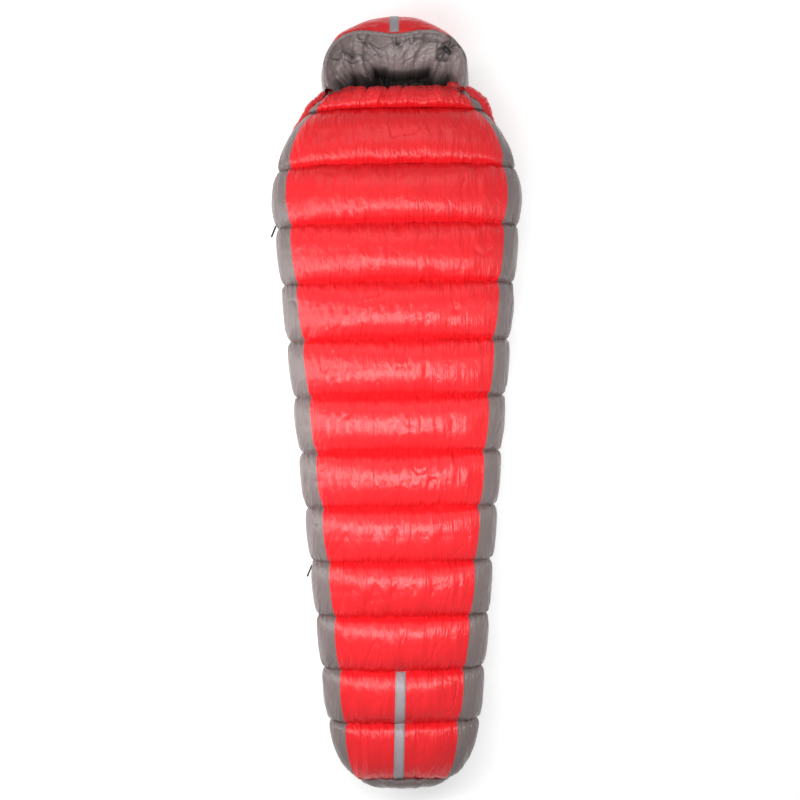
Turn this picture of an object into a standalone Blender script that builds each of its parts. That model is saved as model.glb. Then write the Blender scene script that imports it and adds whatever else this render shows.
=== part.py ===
"""Mummy sleeping bag, lying on its back on the floor: quilted down chambers round a sleeping cavity, a hood
with a face opening and a drawcord, and a two-way zipper on the left side.

Frame: origin on the floor under the middle of the bag, +Y towards the head, +X to the bag's right edge, +Z up.
The top quilt is a row of chambers over the cavity, the side walls stand beside them, and the bottom quilt is a
second row of chambers on the floor. Run it with: blender --background --python part.py
"""

import math

import bmesh
import bpy
from mathutils import Matrix, Vector

# Whole bag
LENGTH = 2.093
CHEST_HALF_WIDTH = 0.334
CHEST_Y = 0.53
NECK_Y = 0.835
NECK_HALF_WIDTH = 0.150
FOOT_TAPER_Y = -0.775
FOOT_HALF_WIDTH = 0.2145
FOOT_ROUNDING = 2.7
SHOULDER_ROUNDING = 2.6

# Quilting: straight seams across the bag, one pitch apart
FIRST_SEAM_Y = 0.775
CHAMBER_PITCH = 0.155
PITCH_EASE = 0.0007
SEAM_COUNT = 12
FOOT_PANEL_Y = -1.008
SEAM_PINCH_WIDTH = 0.012
SEAM_PINCH_HEIGHT = 0.030
GAP = 0.0005

# Heights
CHEST_HEIGHT = 0.275
FOOT_HEIGHT = 0.235
NECK_DROP = 0.070
FOOT_DROP = 0.055
EQUATOR_Z = 0.150
SECTION_POWER = 2.5
CEILING_Z = 0.147
LINING_THICKNESS = 0.0012
BOTTOM_TOP_Z = 0.084

# Red top panel between the side walls
RED_CHEST_HALF_WIDTH = 0.285
RED_FOOT_HALF_WIDTH = 0.155
RED_NECK_HALF_WIDTH = 0.135

# Zipper, set into the valley between the left side wall and the bottom quilt
ZIP_INSET = 0.011
ZIP_Z = 0.097
ZIP_BOTTOM_Y = -0.465
DRAFT_TUBE_TOP_Y = 0.740
SLOT_HALF = 0.0008
TEETH_HEIGHT = 0.0030
TAPE_HEIGHT = 0.0058
UPPER_SLIDER_Y = 0.4965
LOWER_SLIDER_Y = -0.430
SIDE_WALL_BOTTOM_Z = 0.1080
PIN_OUT = 0.0062
PULL_LENGTH = 0.044
PULL_REST_SWING = math.radians(28.0)

# Hood
HOOD_CENTRE_Y = 0.8765
HOOD_HALF_WIDTH = 0.2017
HOOD_DEPTH = 0.170
HOOD_RIM_Z = 0.190
CROWN_RIM_INSET = 0.075
SIDE_RIM_INSET = 0.014
HOOD_PAD_INSET = 0.0675
HOOD_PAD_HEIGHT = 0.058
CROWN_HALF_ANGLE = 52.0
HOOD_END_ANGLE = 15.0
EYELET_ANGLE = 30.0
CHANNEL_RADIUS = 0.0045
CHANNEL_BORE_RADIUS = 0.0024
CHANNEL_INSET = 0.004
CHANNEL_Z = 0.1962
CORD_RADIUS = 0.00125
STRAND_OFFSET = 0.0030
CORDLOCK_FROM_EYELET = 0.028
BARREL_RADIUS = 0.0068
BARREL_BOTTOM = -0.0125
BARREL_TOP = 0.0085
WELL_BOTTOM = -0.0110
STEM_BOTTOM = -0.0062
CORDLOCK_Z = 0.1885

# Closure tab at the neck
TAB_HINGE = (-0.1921, 0.8165, 0.1513)
TAB_LENGTH = 0.028
TAB_TURN = math.radians(30.0)


def clear_scene():
    for obj in list(bpy.data.objects):
        bpy.data.objects.remove(obj)


def make_material(name, colour, roughness, metallic=0.0):
    material = bpy.data.materials.new(name)
    material.use_nodes = True
    shader = material.node_tree.nodes["Principled BSDF"]
    shader.inputs["Base Color"].default_value = (*colour, 1.0)
    shader.inputs["Roughness"].default_value = roughness
    shader.inputs["Metallic"].default_value = metallic
    return material


# Mesh helpers


def add_mesh(name, bm, material, sharp_angle=40.0):
    """One object from a bmesh, with outward normals and smooth round faces."""
    bmesh.ops.recalc_face_normals(bm, faces=bm.faces)
    mesh = bpy.data.meshes.new(name)
    bm.to_mesh(mesh)
    bm.free()
    mesh.materials.append(material)
    mesh.shade_smooth()
    mesh.set_sharp_from_angle(angle=math.radians(sharp_angle))
    obj = bpy.data.objects.new(name, mesh)
    bpy.context.scene.collection.objects.link(obj)
    return obj


def loft(name, rings, material):
    """A closed solid through rings of the same number of points, with flat ends."""
    bm = bmesh.new()
    rows = [[bm.verts.new(point) for point in ring] for ring in rings]
    count = len(rows[0])
    for low, high in zip(rows, rows[1:]):
        for i in range(count):
            j = (i + 1) % count
            bm.faces.new((low[i], low[j], high[j], high[i]))
    bm.faces.new(rows[0])
    bm.faces.new(rows[-1])
    return add_mesh(name, bm, material)


def pipe(name, path, outer, inner, sides, material):
    """A pipe with an open bore along a path."""
    bm = bmesh.new()
    rows = []
    for point, side, up in path_frames(path):
        for radius in (outer, inner):
            rows.append([bm.verts.new(point + radius * (math.cos(a) * side + math.sin(a) * up))
                         for a in (2 * math.pi * k / sides for k in range(sides))])
    last = len(rows) - 2
    for k in range(sides):
        n = (k + 1) % sides
        for r in range(0, last, 2):
            bm.faces.new((rows[r][k], rows[r][n], rows[r + 2][n], rows[r + 2][k]))
            bm.faces.new((rows[r + 1][k], rows[r + 1][n], rows[r + 3][n], rows[r + 3][k]))
        for r in (0, last):
            bm.faces.new((rows[r][k], rows[r][n], rows[r + 1][n], rows[r + 1][k]))
    return add_mesh(name, bm, material)


def path_frames(path):
    """For each point of a path: the point, a sideways vector and an upward vector across it."""
    frames = []
    for i, point in enumerate(path):
        ahead = path[min(i + 1, len(path) - 1)] - path[max(i - 1, 0)]
        side = ahead.cross(Vector((0, 0, 1))).normalized()
        frames.append((point, side, side.cross(ahead).normalized()))
    return frames


def box_mesh(low, high):
    bm = bmesh.new()
    middle = (Vector(low) + Vector(high)) / 2
    size = Vector(high) - Vector(low)
    bmesh.ops.create_cube(bm, size=1.0, matrix=Matrix.Translation(middle) @ Matrix.Diagonal((*size, 1.0)))
    return bm


def cylinder_mesh(radius, low_z, high_z, centre=(0.0, 0.0), sides=20):
    bm = bmesh.new()
    place = Matrix.Translation((centre[0], centre[1], (low_z + high_z) / 2))
    bmesh.ops.create_cone(bm, cap_ends=True, segments=sides, radius1=radius, radius2=radius,
                          depth=high_z - low_z, matrix=place)
    return bm


def combine(name, base, changes, material, place):
    """A solid from one mesh with others joined to it or cut from it, moved to its place."""
    main = add_mesh(name + "_base", base, material)
    helpers = []
    for operation, bm in changes:
        helper = add_mesh(name + "_tool", bm, material)
        modifier = main.modifiers.new(operation, "BOOLEAN")
        modifier.operation = operation
        modifier.object = helper
        helpers.append(helper)
    graph = bpy.context.evaluated_depsgraph_get()
    mesh = bpy.data.meshes.new_from_object(main.evaluated_get(graph))
    for helper in (*helpers, main):
        bpy.data.objects.remove(helper)
    mesh.name = name
    obj = bpy.data.objects.new(name, mesh)
    obj.matrix_world = place
    bpy.context.scene.collection.objects.link(obj)
    return obj


# Shape of the bag


def shoulder_share(y):
    """0 at the chest, 1 at the neck."""
    return min(1.0, max(0.0, (y - CHEST_Y) / (NECK_Y - CHEST_Y)))


def foot_share(y):
    """0 where the foot starts to round off, 1 at the foot's end."""
    return min(1.0, max(0.0, (FOOT_TAPER_Y - y) / (LENGTH / 2 + FOOT_TAPER_Y)))


def foot_factor(y):
    return (1 - foot_share(y) ** FOOT_ROUNDING) ** (1 / FOOT_ROUNDING)


def tapered(y, chest, foot):
    """A width that falls in a straight line from the chest to the foot."""
    share = (CHEST_Y - min(y, CHEST_Y)) / (CHEST_Y - FOOT_TAPER_Y)
    return chest + (foot - chest) * share


def half_width(y):
    """Outline of the top quilt, where its chambers bulge most."""
    width = tapered(y, CHEST_HALF_WIDTH, FOOT_HALF_WIDTH)
    width -= (CHEST_HALF_WIDTH - NECK_HALF_WIDTH) * shoulder_share(y) ** SHOULDER_ROUNDING
    return width * foot_factor(y)


def red_half_width(y):
    """Where the red top panel meets the grey side walls."""
    width = tapered(y, RED_CHEST_HALF_WIDTH, RED_FOOT_HALF_WIDTH)
    width -= (RED_CHEST_HALF_WIDTH - RED_NECK_HALF_WIDTH) * shoulder_share(y) ** SHOULDER_ROUNDING
    return width * foot_factor(y)


def crown_height(y):
    share = (CHEST_Y - min(y, CHEST_Y)) / (CHEST_Y - FOOT_TAPER_Y)
    height = CHEST_HEIGHT + (FOOT_HEIGHT - CHEST_HEIGHT) * share
    return height - NECK_DROP * shoulder_share(y) ** 2 - FOOT_DROP * foot_share(y) ** 2


def bulge(share):
    """How far a chamber swells between its two seams: 0 on a seam, 1 half way."""
    return math.sqrt(max(0.0, 1 - abs(2 * share - 1) ** 2.4))


def section_width(y, share):
    return half_width(y) - SEAM_PINCH_WIDTH * (1 - bulge(share))


def outer_z(x, y, share):
    """Height of the top quilt's outer surface."""
    width = section_width(y, share)
    height = crown_height(y) - SEAM_PINCH_HEIGHT * (1 - bulge(share))
    across = min(1.0, abs(x) / width)
    return EQUATOR_Z + (height - EQUATOR_Z) * (1 - across ** SECTION_POWER) ** (1 / SECTION_POWER)


def chamber_edges():
    """Y of the seams from the neck to the foot panel. The chambers grow a little shorter towards the foot."""
    seams = [FIRST_SEAM_Y - CHAMBER_PITCH * k + PITCH_EASE * k * k for k in range(SEAM_COUNT)]
    return [NECK_Y] + seams + [FOOT_PANEL_Y]


def chamber_stations(head_y, foot_y, steps=4):
    """(y, share) along one chamber, closer together near its seams."""
    shares = [(1 - math.cos(math.pi * k / steps)) / 2 for k in range(steps + 1)]
    return [(head_y - GAP - (head_y - foot_y - 2 * GAP) * s, s) for s in shares]


# Quilts and walls


def top_chamber_ring(y, share, points=9):
    width = red_half_width(y) - GAP
    ring = [Vector((-width, y, CEILING_Z))]
    for k in range(points):
        x = -width + 2 * width * k / (points - 1)
        ring.append(Vector((x, y, outer_z(x, y, share))))
    ring.append(Vector((width, y, CEILING_Z)))
    return ring


def bottom_half_width(y):
    """Outline of the bottom quilt, which shows past the top quilt only at the shoulders."""
    width = tapered(y, CHEST_HALF_WIDTH, FOOT_HALF_WIDTH) * foot_factor(y) - 0.016
    return width - 0.134 * shoulder_share(y) ** 2


def bottom_chamber_ring(y, share):
    width = bottom_half_width(y) - 0.008 * (1 - bulge(share))
    floor = 0.008 * max(0.0, 1 - 2 * bulge(share))
    side = [(width - 0.030, floor), (width - 0.008, 0.014), (width, 0.044),
            (width - 0.008, 0.072), (width - 0.020, BOTTOM_TOP_Z)]
    right = [Vector((x, y, z)) for x, z in side]
    left = [Vector((-x, y, z)) for x, z in reversed(side)]
    return right + left


def side_wall_ring(y, share, side, bottom_z):
    """Section of a side wall: up its flat inner face, over the outer curve and down to the zipper seam."""
    inner = red_half_width(y) + GAP
    outer = section_width(y, share)
    seam = half_width(y) - ZIP_INSET - 0.002
    ring = [Vector((side * inner, y, bottom_z))]
    for k in range(6):
        x = inner + (outer - inner) * math.sin(math.pi / 2 * k / 5)
        ring.append(Vector((side * x, y, outer_z(x, y, share))))
    ring.append(Vector((side * (outer + seam) / 2, y, (EQUATOR_Z + bottom_z) / 2)))
    ring.append(Vector((side * max(seam - 0.004, inner + 0.002), y, bottom_z)))
    return ring


def build_quilts(red, grey):
    edges = chamber_edges()
    for number, (head, foot) in enumerate(zip(edges, edges[1:]), 1):
        stations = chamber_stations(head, foot)
        loft(f"top_chamber_{number:02d}", [top_chamber_ring(y, s) for y, s in stations], red)
        loft(f"bottom_chamber_{number:02d}", [bottom_chamber_ring(y, s) for y, s in stations], grey)
    for name, side, bottom_z in (("side_wall_left", -1, SIDE_WALL_BOTTOM_Z),
                                 ("side_wall_right", 1, BOTTOM_TOP_Z + GAP)):
        rings = []
        for head, foot in zip(edges, edges[1:]):
            stations = chamber_stations(head, foot)
            rings += [side_wall_ring(y, s, side, bottom_z) for y, s in stations[:-1]]
        rings.append(side_wall_ring(*stations[-1], side, bottom_z))
        loft(name, rings, grey)


def foot_end_ring(y):
    """Section of the foot cap: the whole height of the bag, rounding off to the end."""
    left_over = (y + LENGTH / 2) / (FOOT_PANEL_Y + LENGTH / 2)
    size = math.sqrt(max(0.0, 1 - (1 - left_over) ** 2))
    width = 0.045 + (half_width(FOOT_PANEL_Y) - 0.060) * size
    top = 0.110 + 0.075 * size
    ring = []
    for k in range(16):
        angle = 2 * math.pi * (k + 0.5) / 16
        across = math.copysign(abs(math.cos(angle)) ** 0.7, math.cos(angle))
        rise = math.copysign(abs(math.sin(angle)) ** 0.8, math.sin(angle))
        ring.append(Vector((width * across, y, top / 2 + (top / 2 - 0.004) * rise)))
    return ring


def build_foot_end(grey):
    end = -LENGTH / 2
    start = FOOT_PANEL_Y - GAP
    shares = (0.0, 0.35, 0.65, 0.85, 1.0)
    loft("foot_end", [foot_end_ring(start + (end - start) * s) for s in shares], grey)


def build_linings(lining):
    """Thin sheets under the top quilt and over the bottom quilt, round the sleeping cavity."""
    for name, low in (("lining_top", CEILING_Z - GAP - LINING_THICKNESS), ("lining_bottom", BOTTOM_TOP_Z + GAP)):
        rings = []
        for y in (0.830, 0.740, 0.640, 0.530, -0.775, -0.880, -0.960):
            width = red_half_width(y) - 0.004
            if name == "lining_bottom":
                width = min(width, half_width(y) - ZIP_INSET - 0.060)
            high = low + LINING_THICKNESS
            rings.append([Vector((-width, y, low)), Vector((width, y, low)),
                          Vector((width, y, high)), Vector((-width, y, high))])
        loft(name, rings, lining)


# Zipper


def zip_x(y):
    return -(half_width(y) - ZIP_INSET)


def zip_place(y, z=ZIP_Z):
    """Frame on the chain: local X outwards, local Y along the chain towards the foot, local Z up."""
    slope = (CHEST_HALF_WIDTH - FOOT_HALF_WIDTH) / (CHEST_Y - FOOT_TAPER_Y)
    return Matrix.Translation((zip_x(y), y, z)) @ Matrix.Rotation(math.pi + math.atan(slope), 4, "Z")


def zip_stations(low_y, high_y):
    """Y values along the chain: two on its straight run, more round the shoulder."""
    curve = [CHEST_Y + (high_y - CHEST_Y) * k / 8 for k in range(9)]
    return [low_y] + curve


def zip_strip(name, inner, outer, low_z, high_z, low_y, high_y, material):
    """An upright strip that follows the zipper. inner and outer are offsets from the chain's plane."""
    rings = []
    stations = zip_stations(low_y, high_y)
    for i, y in enumerate(stations):
        before, after = stations[max(i - 1, 0)], stations[min(i + 1, len(stations) - 1)]
        ahead = Vector((zip_x(after) - zip_x(before), after - before, 0)).normalized()
        out = Vector((-ahead.y, ahead.x, 0))
        point = Vector((zip_x(y), y, 0))
        rings.append([point + out * inner + Vector((0, 0, low_z)), point + out * outer + Vector((0, 0, low_z)),
                      point + out * outer + Vector((0, 0, high_z)), point + out * inner + Vector((0, 0, high_z))])
    return loft(name, rings, material)


def build_zipper(black, grey):
    top_y = NECK_Y - 0.010
    teeth = SLOT_HALF + TEETH_HEIGHT
    tape_start = teeth + 0.0003
    for name, side in (("upper", 1), ("lower", -1)):
        low, high = sorted((ZIP_Z + side * SLOT_HALF, ZIP_Z + side * teeth))
        zip_strip(f"zipper_teeth_{name}", -0.0013, 0.0013, low, high, ZIP_BOTTOM_Y, top_y, black)
        low, high = sorted((ZIP_Z + side * tape_start, ZIP_Z + side * (tape_start + TAPE_HEIGHT)))
        zip_strip(f"zipper_tape_{name}", -0.0004, 0.0004, low, high, ZIP_BOTTOM_Y, top_y, black)
    zip_strip("draft_tube", -0.050, -0.0060, BOTTOM_TOP_Z + LINING_THICKNESS + 2 * GAP,
              SIDE_WALL_BOTTOM_Z - GAP, ZIP_BOTTOM_Y, DRAFT_TUBE_TOP_Y, grey)
    stop = box_mesh((-0.0030, -0.0015, -0.0042), (0.0030, 0.0015, 0.0042))
    place = zip_place(ZIP_BOTTOM_Y - 0.0025)
    combine("zipper_bottom_stop", stop, [], black, place)


def build_slider(name, y, metal):
    """Slider: a front and a back plate joined by a post in the slot of the chain, with a pin for the pull."""
    front = box_mesh((0.0018, -0.0075, -0.0055), (0.0036, 0.0075, 0.0055))
    post = box_mesh((-0.0035, -0.0050, -0.0004), (0.0025, 0.0050, 0.0004))
    back = box_mesh((-0.0042, -0.0075, -0.0055), (-0.0024, 0.0075, 0.0055))
    parts = [("UNION", post), ("UNION", back)]
    for low in (-0.0048, 0.0036):
        parts.append(("UNION", box_mesh((0.0030, -0.0018, low), (0.0080, 0.0018, low + 0.0012))))
    parts.append(("UNION", cylinder_mesh(0.0008, -0.0042, 0.0042, (PIN_OUT, 0.0), sides=12)))
    return combine(name, front, parts, metal, zip_place(y))


def build_pull(name, y, metal):
    """Pull tab: an eye round the slider's pin and a flat tongue that hangs a little away from the side."""
    eye = cylinder_mesh(0.0022, -0.0028, 0.0028, sides=20)
    tongue = box_mesh((-0.0007, 0.0012, -0.0028), (0.0007, PULL_LENGTH, 0.0028))
    bore = cylinder_mesh(0.0011, -0.0050, 0.0050, sides=16)
    place = zip_place(y) @ Matrix.Translation((PIN_OUT, 0, 0)) @ Matrix.Rotation(-PULL_REST_SWING, 4, "Z")
    return combine(name, eye, [("UNION", tongue), ("DIFFERENCE", bore)], metal, place)


# Neck and hood


def yoke_ring(y, side):
    """Section of the padded shoulder yoke, which stands outside the top quilt's edge."""
    share = (y - 0.715) / (NECK_Y - 0.715)
    radius = 0.003 + 0.013 * math.sin(math.pi * (0.15 + 0.6 * share))
    centre = half_width(y) + 0.0015 + radius
    ring = []
    for k in range(10):
        angle = 2 * math.pi * k / 10
        ring.append(Vector((side * (centre + radius * math.cos(angle)), y, 0.118 + 0.031 * math.sin(angle))))
    return ring


def build_yokes(red):
    for name, side in (("shoulder_yoke_left", -1), ("shoulder_yoke_right", 1)):
        rings = [yoke_ring(0.715 + (0.829 - 0.715) * k / 6, side) for k in range(7)]
        loft(name, rings, red)


def hood_point(angle, inset, z):
    """A point at a distance inside the hood's outline, at an angle from +X in degrees."""
    a = math.radians(angle)
    edge = Vector((HOOD_HALF_WIDTH * math.cos(a), HOOD_CENTRE_Y + HOOD_DEPTH * math.sin(a), 0))
    out = Vector((math.cos(a) / HOOD_HALF_WIDTH, math.sin(a) / HOOD_DEPTH, 0)).normalized()
    return edge - out * inset + Vector((0, 0, z))


def rim_inset(angle):
    return SIDE_RIM_INSET + (CROWN_RIM_INSET - SIDE_RIM_INSET) * math.sin(math.radians(angle)) ** 4


def hood_wall_ring(angle):
    """Section of the hood's wall: outside from the floor to the rim, then down its inside."""
    rim = rim_inset(angle)
    outside = [(0.026, 0.0), (0.006, 0.035), (0.0, 0.085), (0.003 + 0.12 * rim, 0.135), (0.5 * rim, 0.172)]
    inside = [(rim + 0.012, 0.178), (0.045 + 0.2 * rim, 0.140), (0.048, 0.090), (0.052, 0.040), (0.066, 0.0)]
    section = outside + [(rim, HOOD_RIM_Z)] + inside
    return [hood_point(angle, inset, z) for inset, z in section]


def hood_roll(name, first, last, inset, z, across, high, material, steps=8):
    """A padded roll along the inside of the hood's rim, with rounded ends."""
    rings = []
    for k in range(steps + 1):
        size = max(0.25, math.sqrt(1 - (2 * k / steps - 1) ** 4))
        angle = first + (last - first) * k / steps
        ring = []
        for m in range(12):
            turn = 2 * math.pi * m / 12
            side = math.copysign(abs(math.cos(turn)) ** 0.75, math.cos(turn))
            rise = math.copysign(abs(math.sin(turn)) ** 0.75, math.sin(turn))
            ring.append(hood_point(angle, inset + across * size * side, z + high * size * rise))
        rings.append(ring)
    return loft(name, rings, material)


def arc(first, last, steps):
    return [first + (last - first) * k / steps for k in range(steps + 1)]


def build_hood(red, grey, lining):
    low, high = 90 - CROWN_HALF_ANGLE, 90 + CROWN_HALF_ANGLE
    slit = 0.15
    loft("hood_crown", [hood_wall_ring(a) for a in arc(low + slit, high - slit, 14)], red)
    loft("hood_side_right", [hood_wall_ring(a) for a in arc(-HOOD_END_ANGLE, low - slit, 7)], grey)
    loft("hood_side_left", [hood_wall_ring(a) for a in arc(high + slit, 180 + HOOD_END_ANGLE, 7)], grey)
    pad = []
    half = HOOD_HALF_WIDTH - HOOD_PAD_INSET
    depth = HOOD_DEPTH - HOOD_PAD_INSET
    for turn in (None, 0, 15, 30, 45, 58, 70, 80):
        y = NECK_Y + GAP if turn is None else HOOD_CENTRE_Y + depth * math.sin(math.radians(turn))
        width = half * math.cos(math.radians(turn or 0))
        pad.append([Vector((-width, y, 0.010)), Vector((-width * 0.9, y, 0)), Vector((width * 0.9, y, 0)),
                    Vector((width, y, 0.010)), Vector((width, y, HOOD_PAD_HEIGHT - 0.012)),
                    Vector((width * 0.7, y, HOOD_PAD_HEIGHT)), Vector((-width * 0.7, y, HOOD_PAD_HEIGHT)),
                    Vector((-width, y, HOOD_PAD_HEIGHT - 0.012))])
    loft("hood_back", pad, grey)
    hood_roll("brow_roll", 38, 130, 0.1165, 0.147, 0.0385, 0.021, lining)
    hood_roll("cheek_roll_left", 142, 192, 0.086, 0.112, 0.034, 0.032, lining)
    hood_roll("cheek_roll_right", -11, 31, 0.0745, 0.139, 0.0245, 0.040, lining)


def rim_path(first, last, steps):
    return [hood_point(a, rim_inset(a) + CHANNEL_INSET, CHANNEL_Z) for a in arc(first, last, steps)]


def cordlock_frame():
    """Centre of the cordlock, the direction of its strands towards the eyelet, and its barrel's axis."""
    eyelet = hood_point(EYELET_ANGLE, rim_inset(EYELET_ANGLE) + CHANNEL_INSET, CORDLOCK_Z)
    strand = Vector((0.70, 0.71, 0.0)).normalized()
    barrel = Vector((strand.y, -strand.x, 0.0))
    return eyelet - strand * CORDLOCK_FROM_EYELET, strand, barrel


def cord_route():
    """The drawcord: through the rim from the left, out at the eyelet, through the cordlock, round a loop, back
    through the cordlock and into the rim again down the right side."""
    centre, strand, barrel = cordlock_frame()
    loop = ((0.014, -1), (0.0, -1), (-0.014, -1), (-0.024, -2.1), (-0.032, -1.3),
            (-0.032, 1.3), (-0.024, 2.1), (-0.014, 1), (0.0, 1), (0.014, 1))
    route = rim_path(180 + HOOD_END_ANGLE - 3, EYELET_ANGLE + 5, 22)
    route += [centre + strand * reach + barrel * STRAND_OFFSET * side for reach, side in loop]
    return route + rim_path(EYELET_ANGLE - 5, -HOOD_END_ANGLE + 3, 6)


def smooth(points, steps):
    """A Catmull-Rom curve through the points."""
    curve = []
    padded = [points[0], *points, points[-1]]
    for a, b, c, d in zip(padded, padded[1:], padded[2:], padded[3:]):
        for k in range(steps):
            t = k / steps
            curve.append(0.5 * (2 * b + (c - a) * t + (2 * a - 5 * b + 4 * c - d) * t ** 2
                                + (3 * b - a - 3 * c + d) * t ** 3))
    return curve + [points[-1]]


def build_drawcord(black, grey):
    pipe("rim_channel_left", rim_path(180 + HOOD_END_ANGLE - 2, EYELET_ANGLE + 9, 22), CHANNEL_RADIUS,
         CHANNEL_BORE_RADIUS, 8, grey)
    pipe("rim_channel_right", rim_path(EYELET_ANGLE - 9, -HOOD_END_ANGLE + 2, 6), CHANNEL_RADIUS,
         CHANNEL_BORE_RADIUS, 8, grey)
    curve = bpy.data.curves.new("hood_drawcord", "CURVE")
    curve.dimensions = "3D"
    curve.bevel_depth = CORD_RADIUS
    curve.bevel_resolution = 2
    curve.use_fill_caps = True
    points = smooth(cord_route(), 2)
    spline = curve.splines.new("POLY")
    spline.points.add(len(points) - 1)
    for point, place in zip(spline.points, points):
        point.co = (*place, 1.0)
    curve.materials.append(black)
    bpy.context.scene.collection.objects.link(bpy.data.objects.new("hood_drawcord", curve))


def build_cordlock(black, metal):
    """Barrel cordlock: local X along the strands, local Z along the barrel. The plunger presses in from +Z."""
    centre, strand, barrel = cordlock_frame()
    place = Matrix((strand, barrel.cross(strand), barrel)).transposed().to_4x4()
    place.translation = centre
    barrel_solid = cylinder_mesh(BARREL_RADIUS, BARREL_BOTTOM, BARREL_TOP, sides=20)
    well = cylinder_mesh(0.0046, WELL_BOTTOM, BARREL_TOP + 0.005, sides=16)
    passage = box_mesh((-0.012, -0.0021, -0.0056), (0.012, 0.0021, 0.0056))
    combine("cordlock_body", barrel_solid, [("DIFFERENCE", well), ("DIFFERENCE", passage)], black, place)
    stem = cylinder_mesh(0.0042, STEM_BOTTOM, BARREL_TOP + 0.0038, sides=16)
    button = cylinder_mesh(0.0060, BARREL_TOP + 0.0035, BARREL_TOP + 0.0065, sides=20)
    slot = box_mesh((-0.012, -0.0021, -0.0048), (0.012, 0.0021, 0.0078))
    combine("cordlock_plunger", stem, [("UNION", button), ("DIFFERENCE", slot)], black, place)
    spring = cylinder_mesh(0.0038, WELL_BOTTOM + GAP, STEM_BOTTOM - GAP, sides=12)
    bore = cylinder_mesh(0.0030, WELL_BOTTOM - 0.002, 0.0, sides=12)
    combine("cordlock_spring", spring, [("DIFFERENCE", bore)], metal, place)


def build_closure_tab(black):
    """Hook tab at the zipper's top end, hinged at its outer end, and the loop patch under it on the yoke."""
    place = Matrix.Translation(TAB_HINGE) @ Matrix.Rotation(TAB_TURN, 4, "Z")
    patch = box_mesh((0.0015, -0.0050, -0.0016), (TAB_LENGTH - 0.0015, 0.0050, -0.0003))
    tab = box_mesh((0.0, -0.0055, 0.0), (TAB_LENGTH, 0.0055, 0.0018))
    combine("closure_patch", patch, [], black, place)
    combine("closure_tab", tab, [], black, place)


def build_strips(reflective):
    """Reflective tapes: over the crown of the hood, and down the last two chambers of the top quilt."""
    rings = []
    for inset, z in ((-0.0016, 0.085), (0.0090, 0.1370), (0.0360, 0.1745), (CROWN_RIM_INSET - 0.006, 0.1903)):
        middle = hood_point(90, inset, z)
        rings.append([middle + Vector((-0.0125, 0, 0)), middle + Vector((0.0125, 0, 0)),
                      middle + Vector((0.0125, 0.0003, 0.0010)), middle + Vector((-0.0125, 0.0003, 0.0010))])
    loft("hood_reflective_strip", rings, reflective)
    rings = []
    edges = chamber_edges()[-3:]
    for head, foot in zip(edges, edges[1:]):
        for y, share in chamber_stations(head, foot):
            low = outer_z(0.0, y, share) + GAP
            rings.append([Vector((-0.0135, y, low)), Vector((0.0135, y, low)),
                          Vector((0.0135, y, low + 0.0010)), Vector((-0.0135, y, low + 0.0010))])
    loft("foot_reflective_strip", rings[1:-1], reflective)


def main():
    clear_scene()
    red = make_material("red_shell", (0.80, 0.045, 0.055), 0.42)
    grey = make_material("grey_shell", (0.27, 0.235, 0.23), 0.45)
    lining = make_material("grey_lining", (0.24, 0.21, 0.205), 0.48)
    black = make_material("black_trim", (0.012, 0.012, 0.013), 0.40)
    metal = make_material("zipper_metal", (0.10, 0.10, 0.11), 0.35, 0.8)
    reflective = make_material("reflective_tape", (0.36, 0.32, 0.35), 0.35)
    build_quilts(red, grey)
    build_foot_end(grey)
    build_linings(lining)
    build_zipper(black, lining)
    for name, y in (("upper", UPPER_SLIDER_Y), ("lower", LOWER_SLIDER_Y)):
        build_slider(f"{name}_slider", y, metal)
        build_pull(f"{name}_pull", y, metal)
    build_yokes(red)
    build_hood(red, grey, lining)
    build_drawcord(black, grey)
    build_cordlock(black, metal)
    build_closure_tab(black)
    build_strips(reflective)


main()
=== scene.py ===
"""Looks of the mummy sleeping bag: cloth, lining, zipper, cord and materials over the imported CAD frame.

Frame: origin on the floor under the middle of the bag, +Y to its head, +X to the sleeper's left, +Z up.
"""

import math

import bmesh
import bpy
import numpy as np
from mathutils import Matrix, Vector
from mathutils.bvhtree import BVHTree


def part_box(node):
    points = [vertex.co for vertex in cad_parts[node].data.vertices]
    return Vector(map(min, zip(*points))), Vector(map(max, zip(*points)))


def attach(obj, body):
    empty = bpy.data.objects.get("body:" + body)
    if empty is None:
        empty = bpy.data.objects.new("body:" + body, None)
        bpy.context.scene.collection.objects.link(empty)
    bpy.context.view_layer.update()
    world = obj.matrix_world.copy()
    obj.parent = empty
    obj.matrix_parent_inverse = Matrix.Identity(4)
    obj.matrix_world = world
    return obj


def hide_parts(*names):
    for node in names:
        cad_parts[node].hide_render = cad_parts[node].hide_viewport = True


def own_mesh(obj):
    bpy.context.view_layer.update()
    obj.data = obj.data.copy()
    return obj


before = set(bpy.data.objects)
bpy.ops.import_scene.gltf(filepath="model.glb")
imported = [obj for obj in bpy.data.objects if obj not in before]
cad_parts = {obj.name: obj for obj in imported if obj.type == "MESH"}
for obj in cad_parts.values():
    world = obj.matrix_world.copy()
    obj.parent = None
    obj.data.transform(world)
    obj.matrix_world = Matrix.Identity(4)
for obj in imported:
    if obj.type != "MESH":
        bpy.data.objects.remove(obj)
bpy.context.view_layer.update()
random = np.random.default_rng(7)

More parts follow.
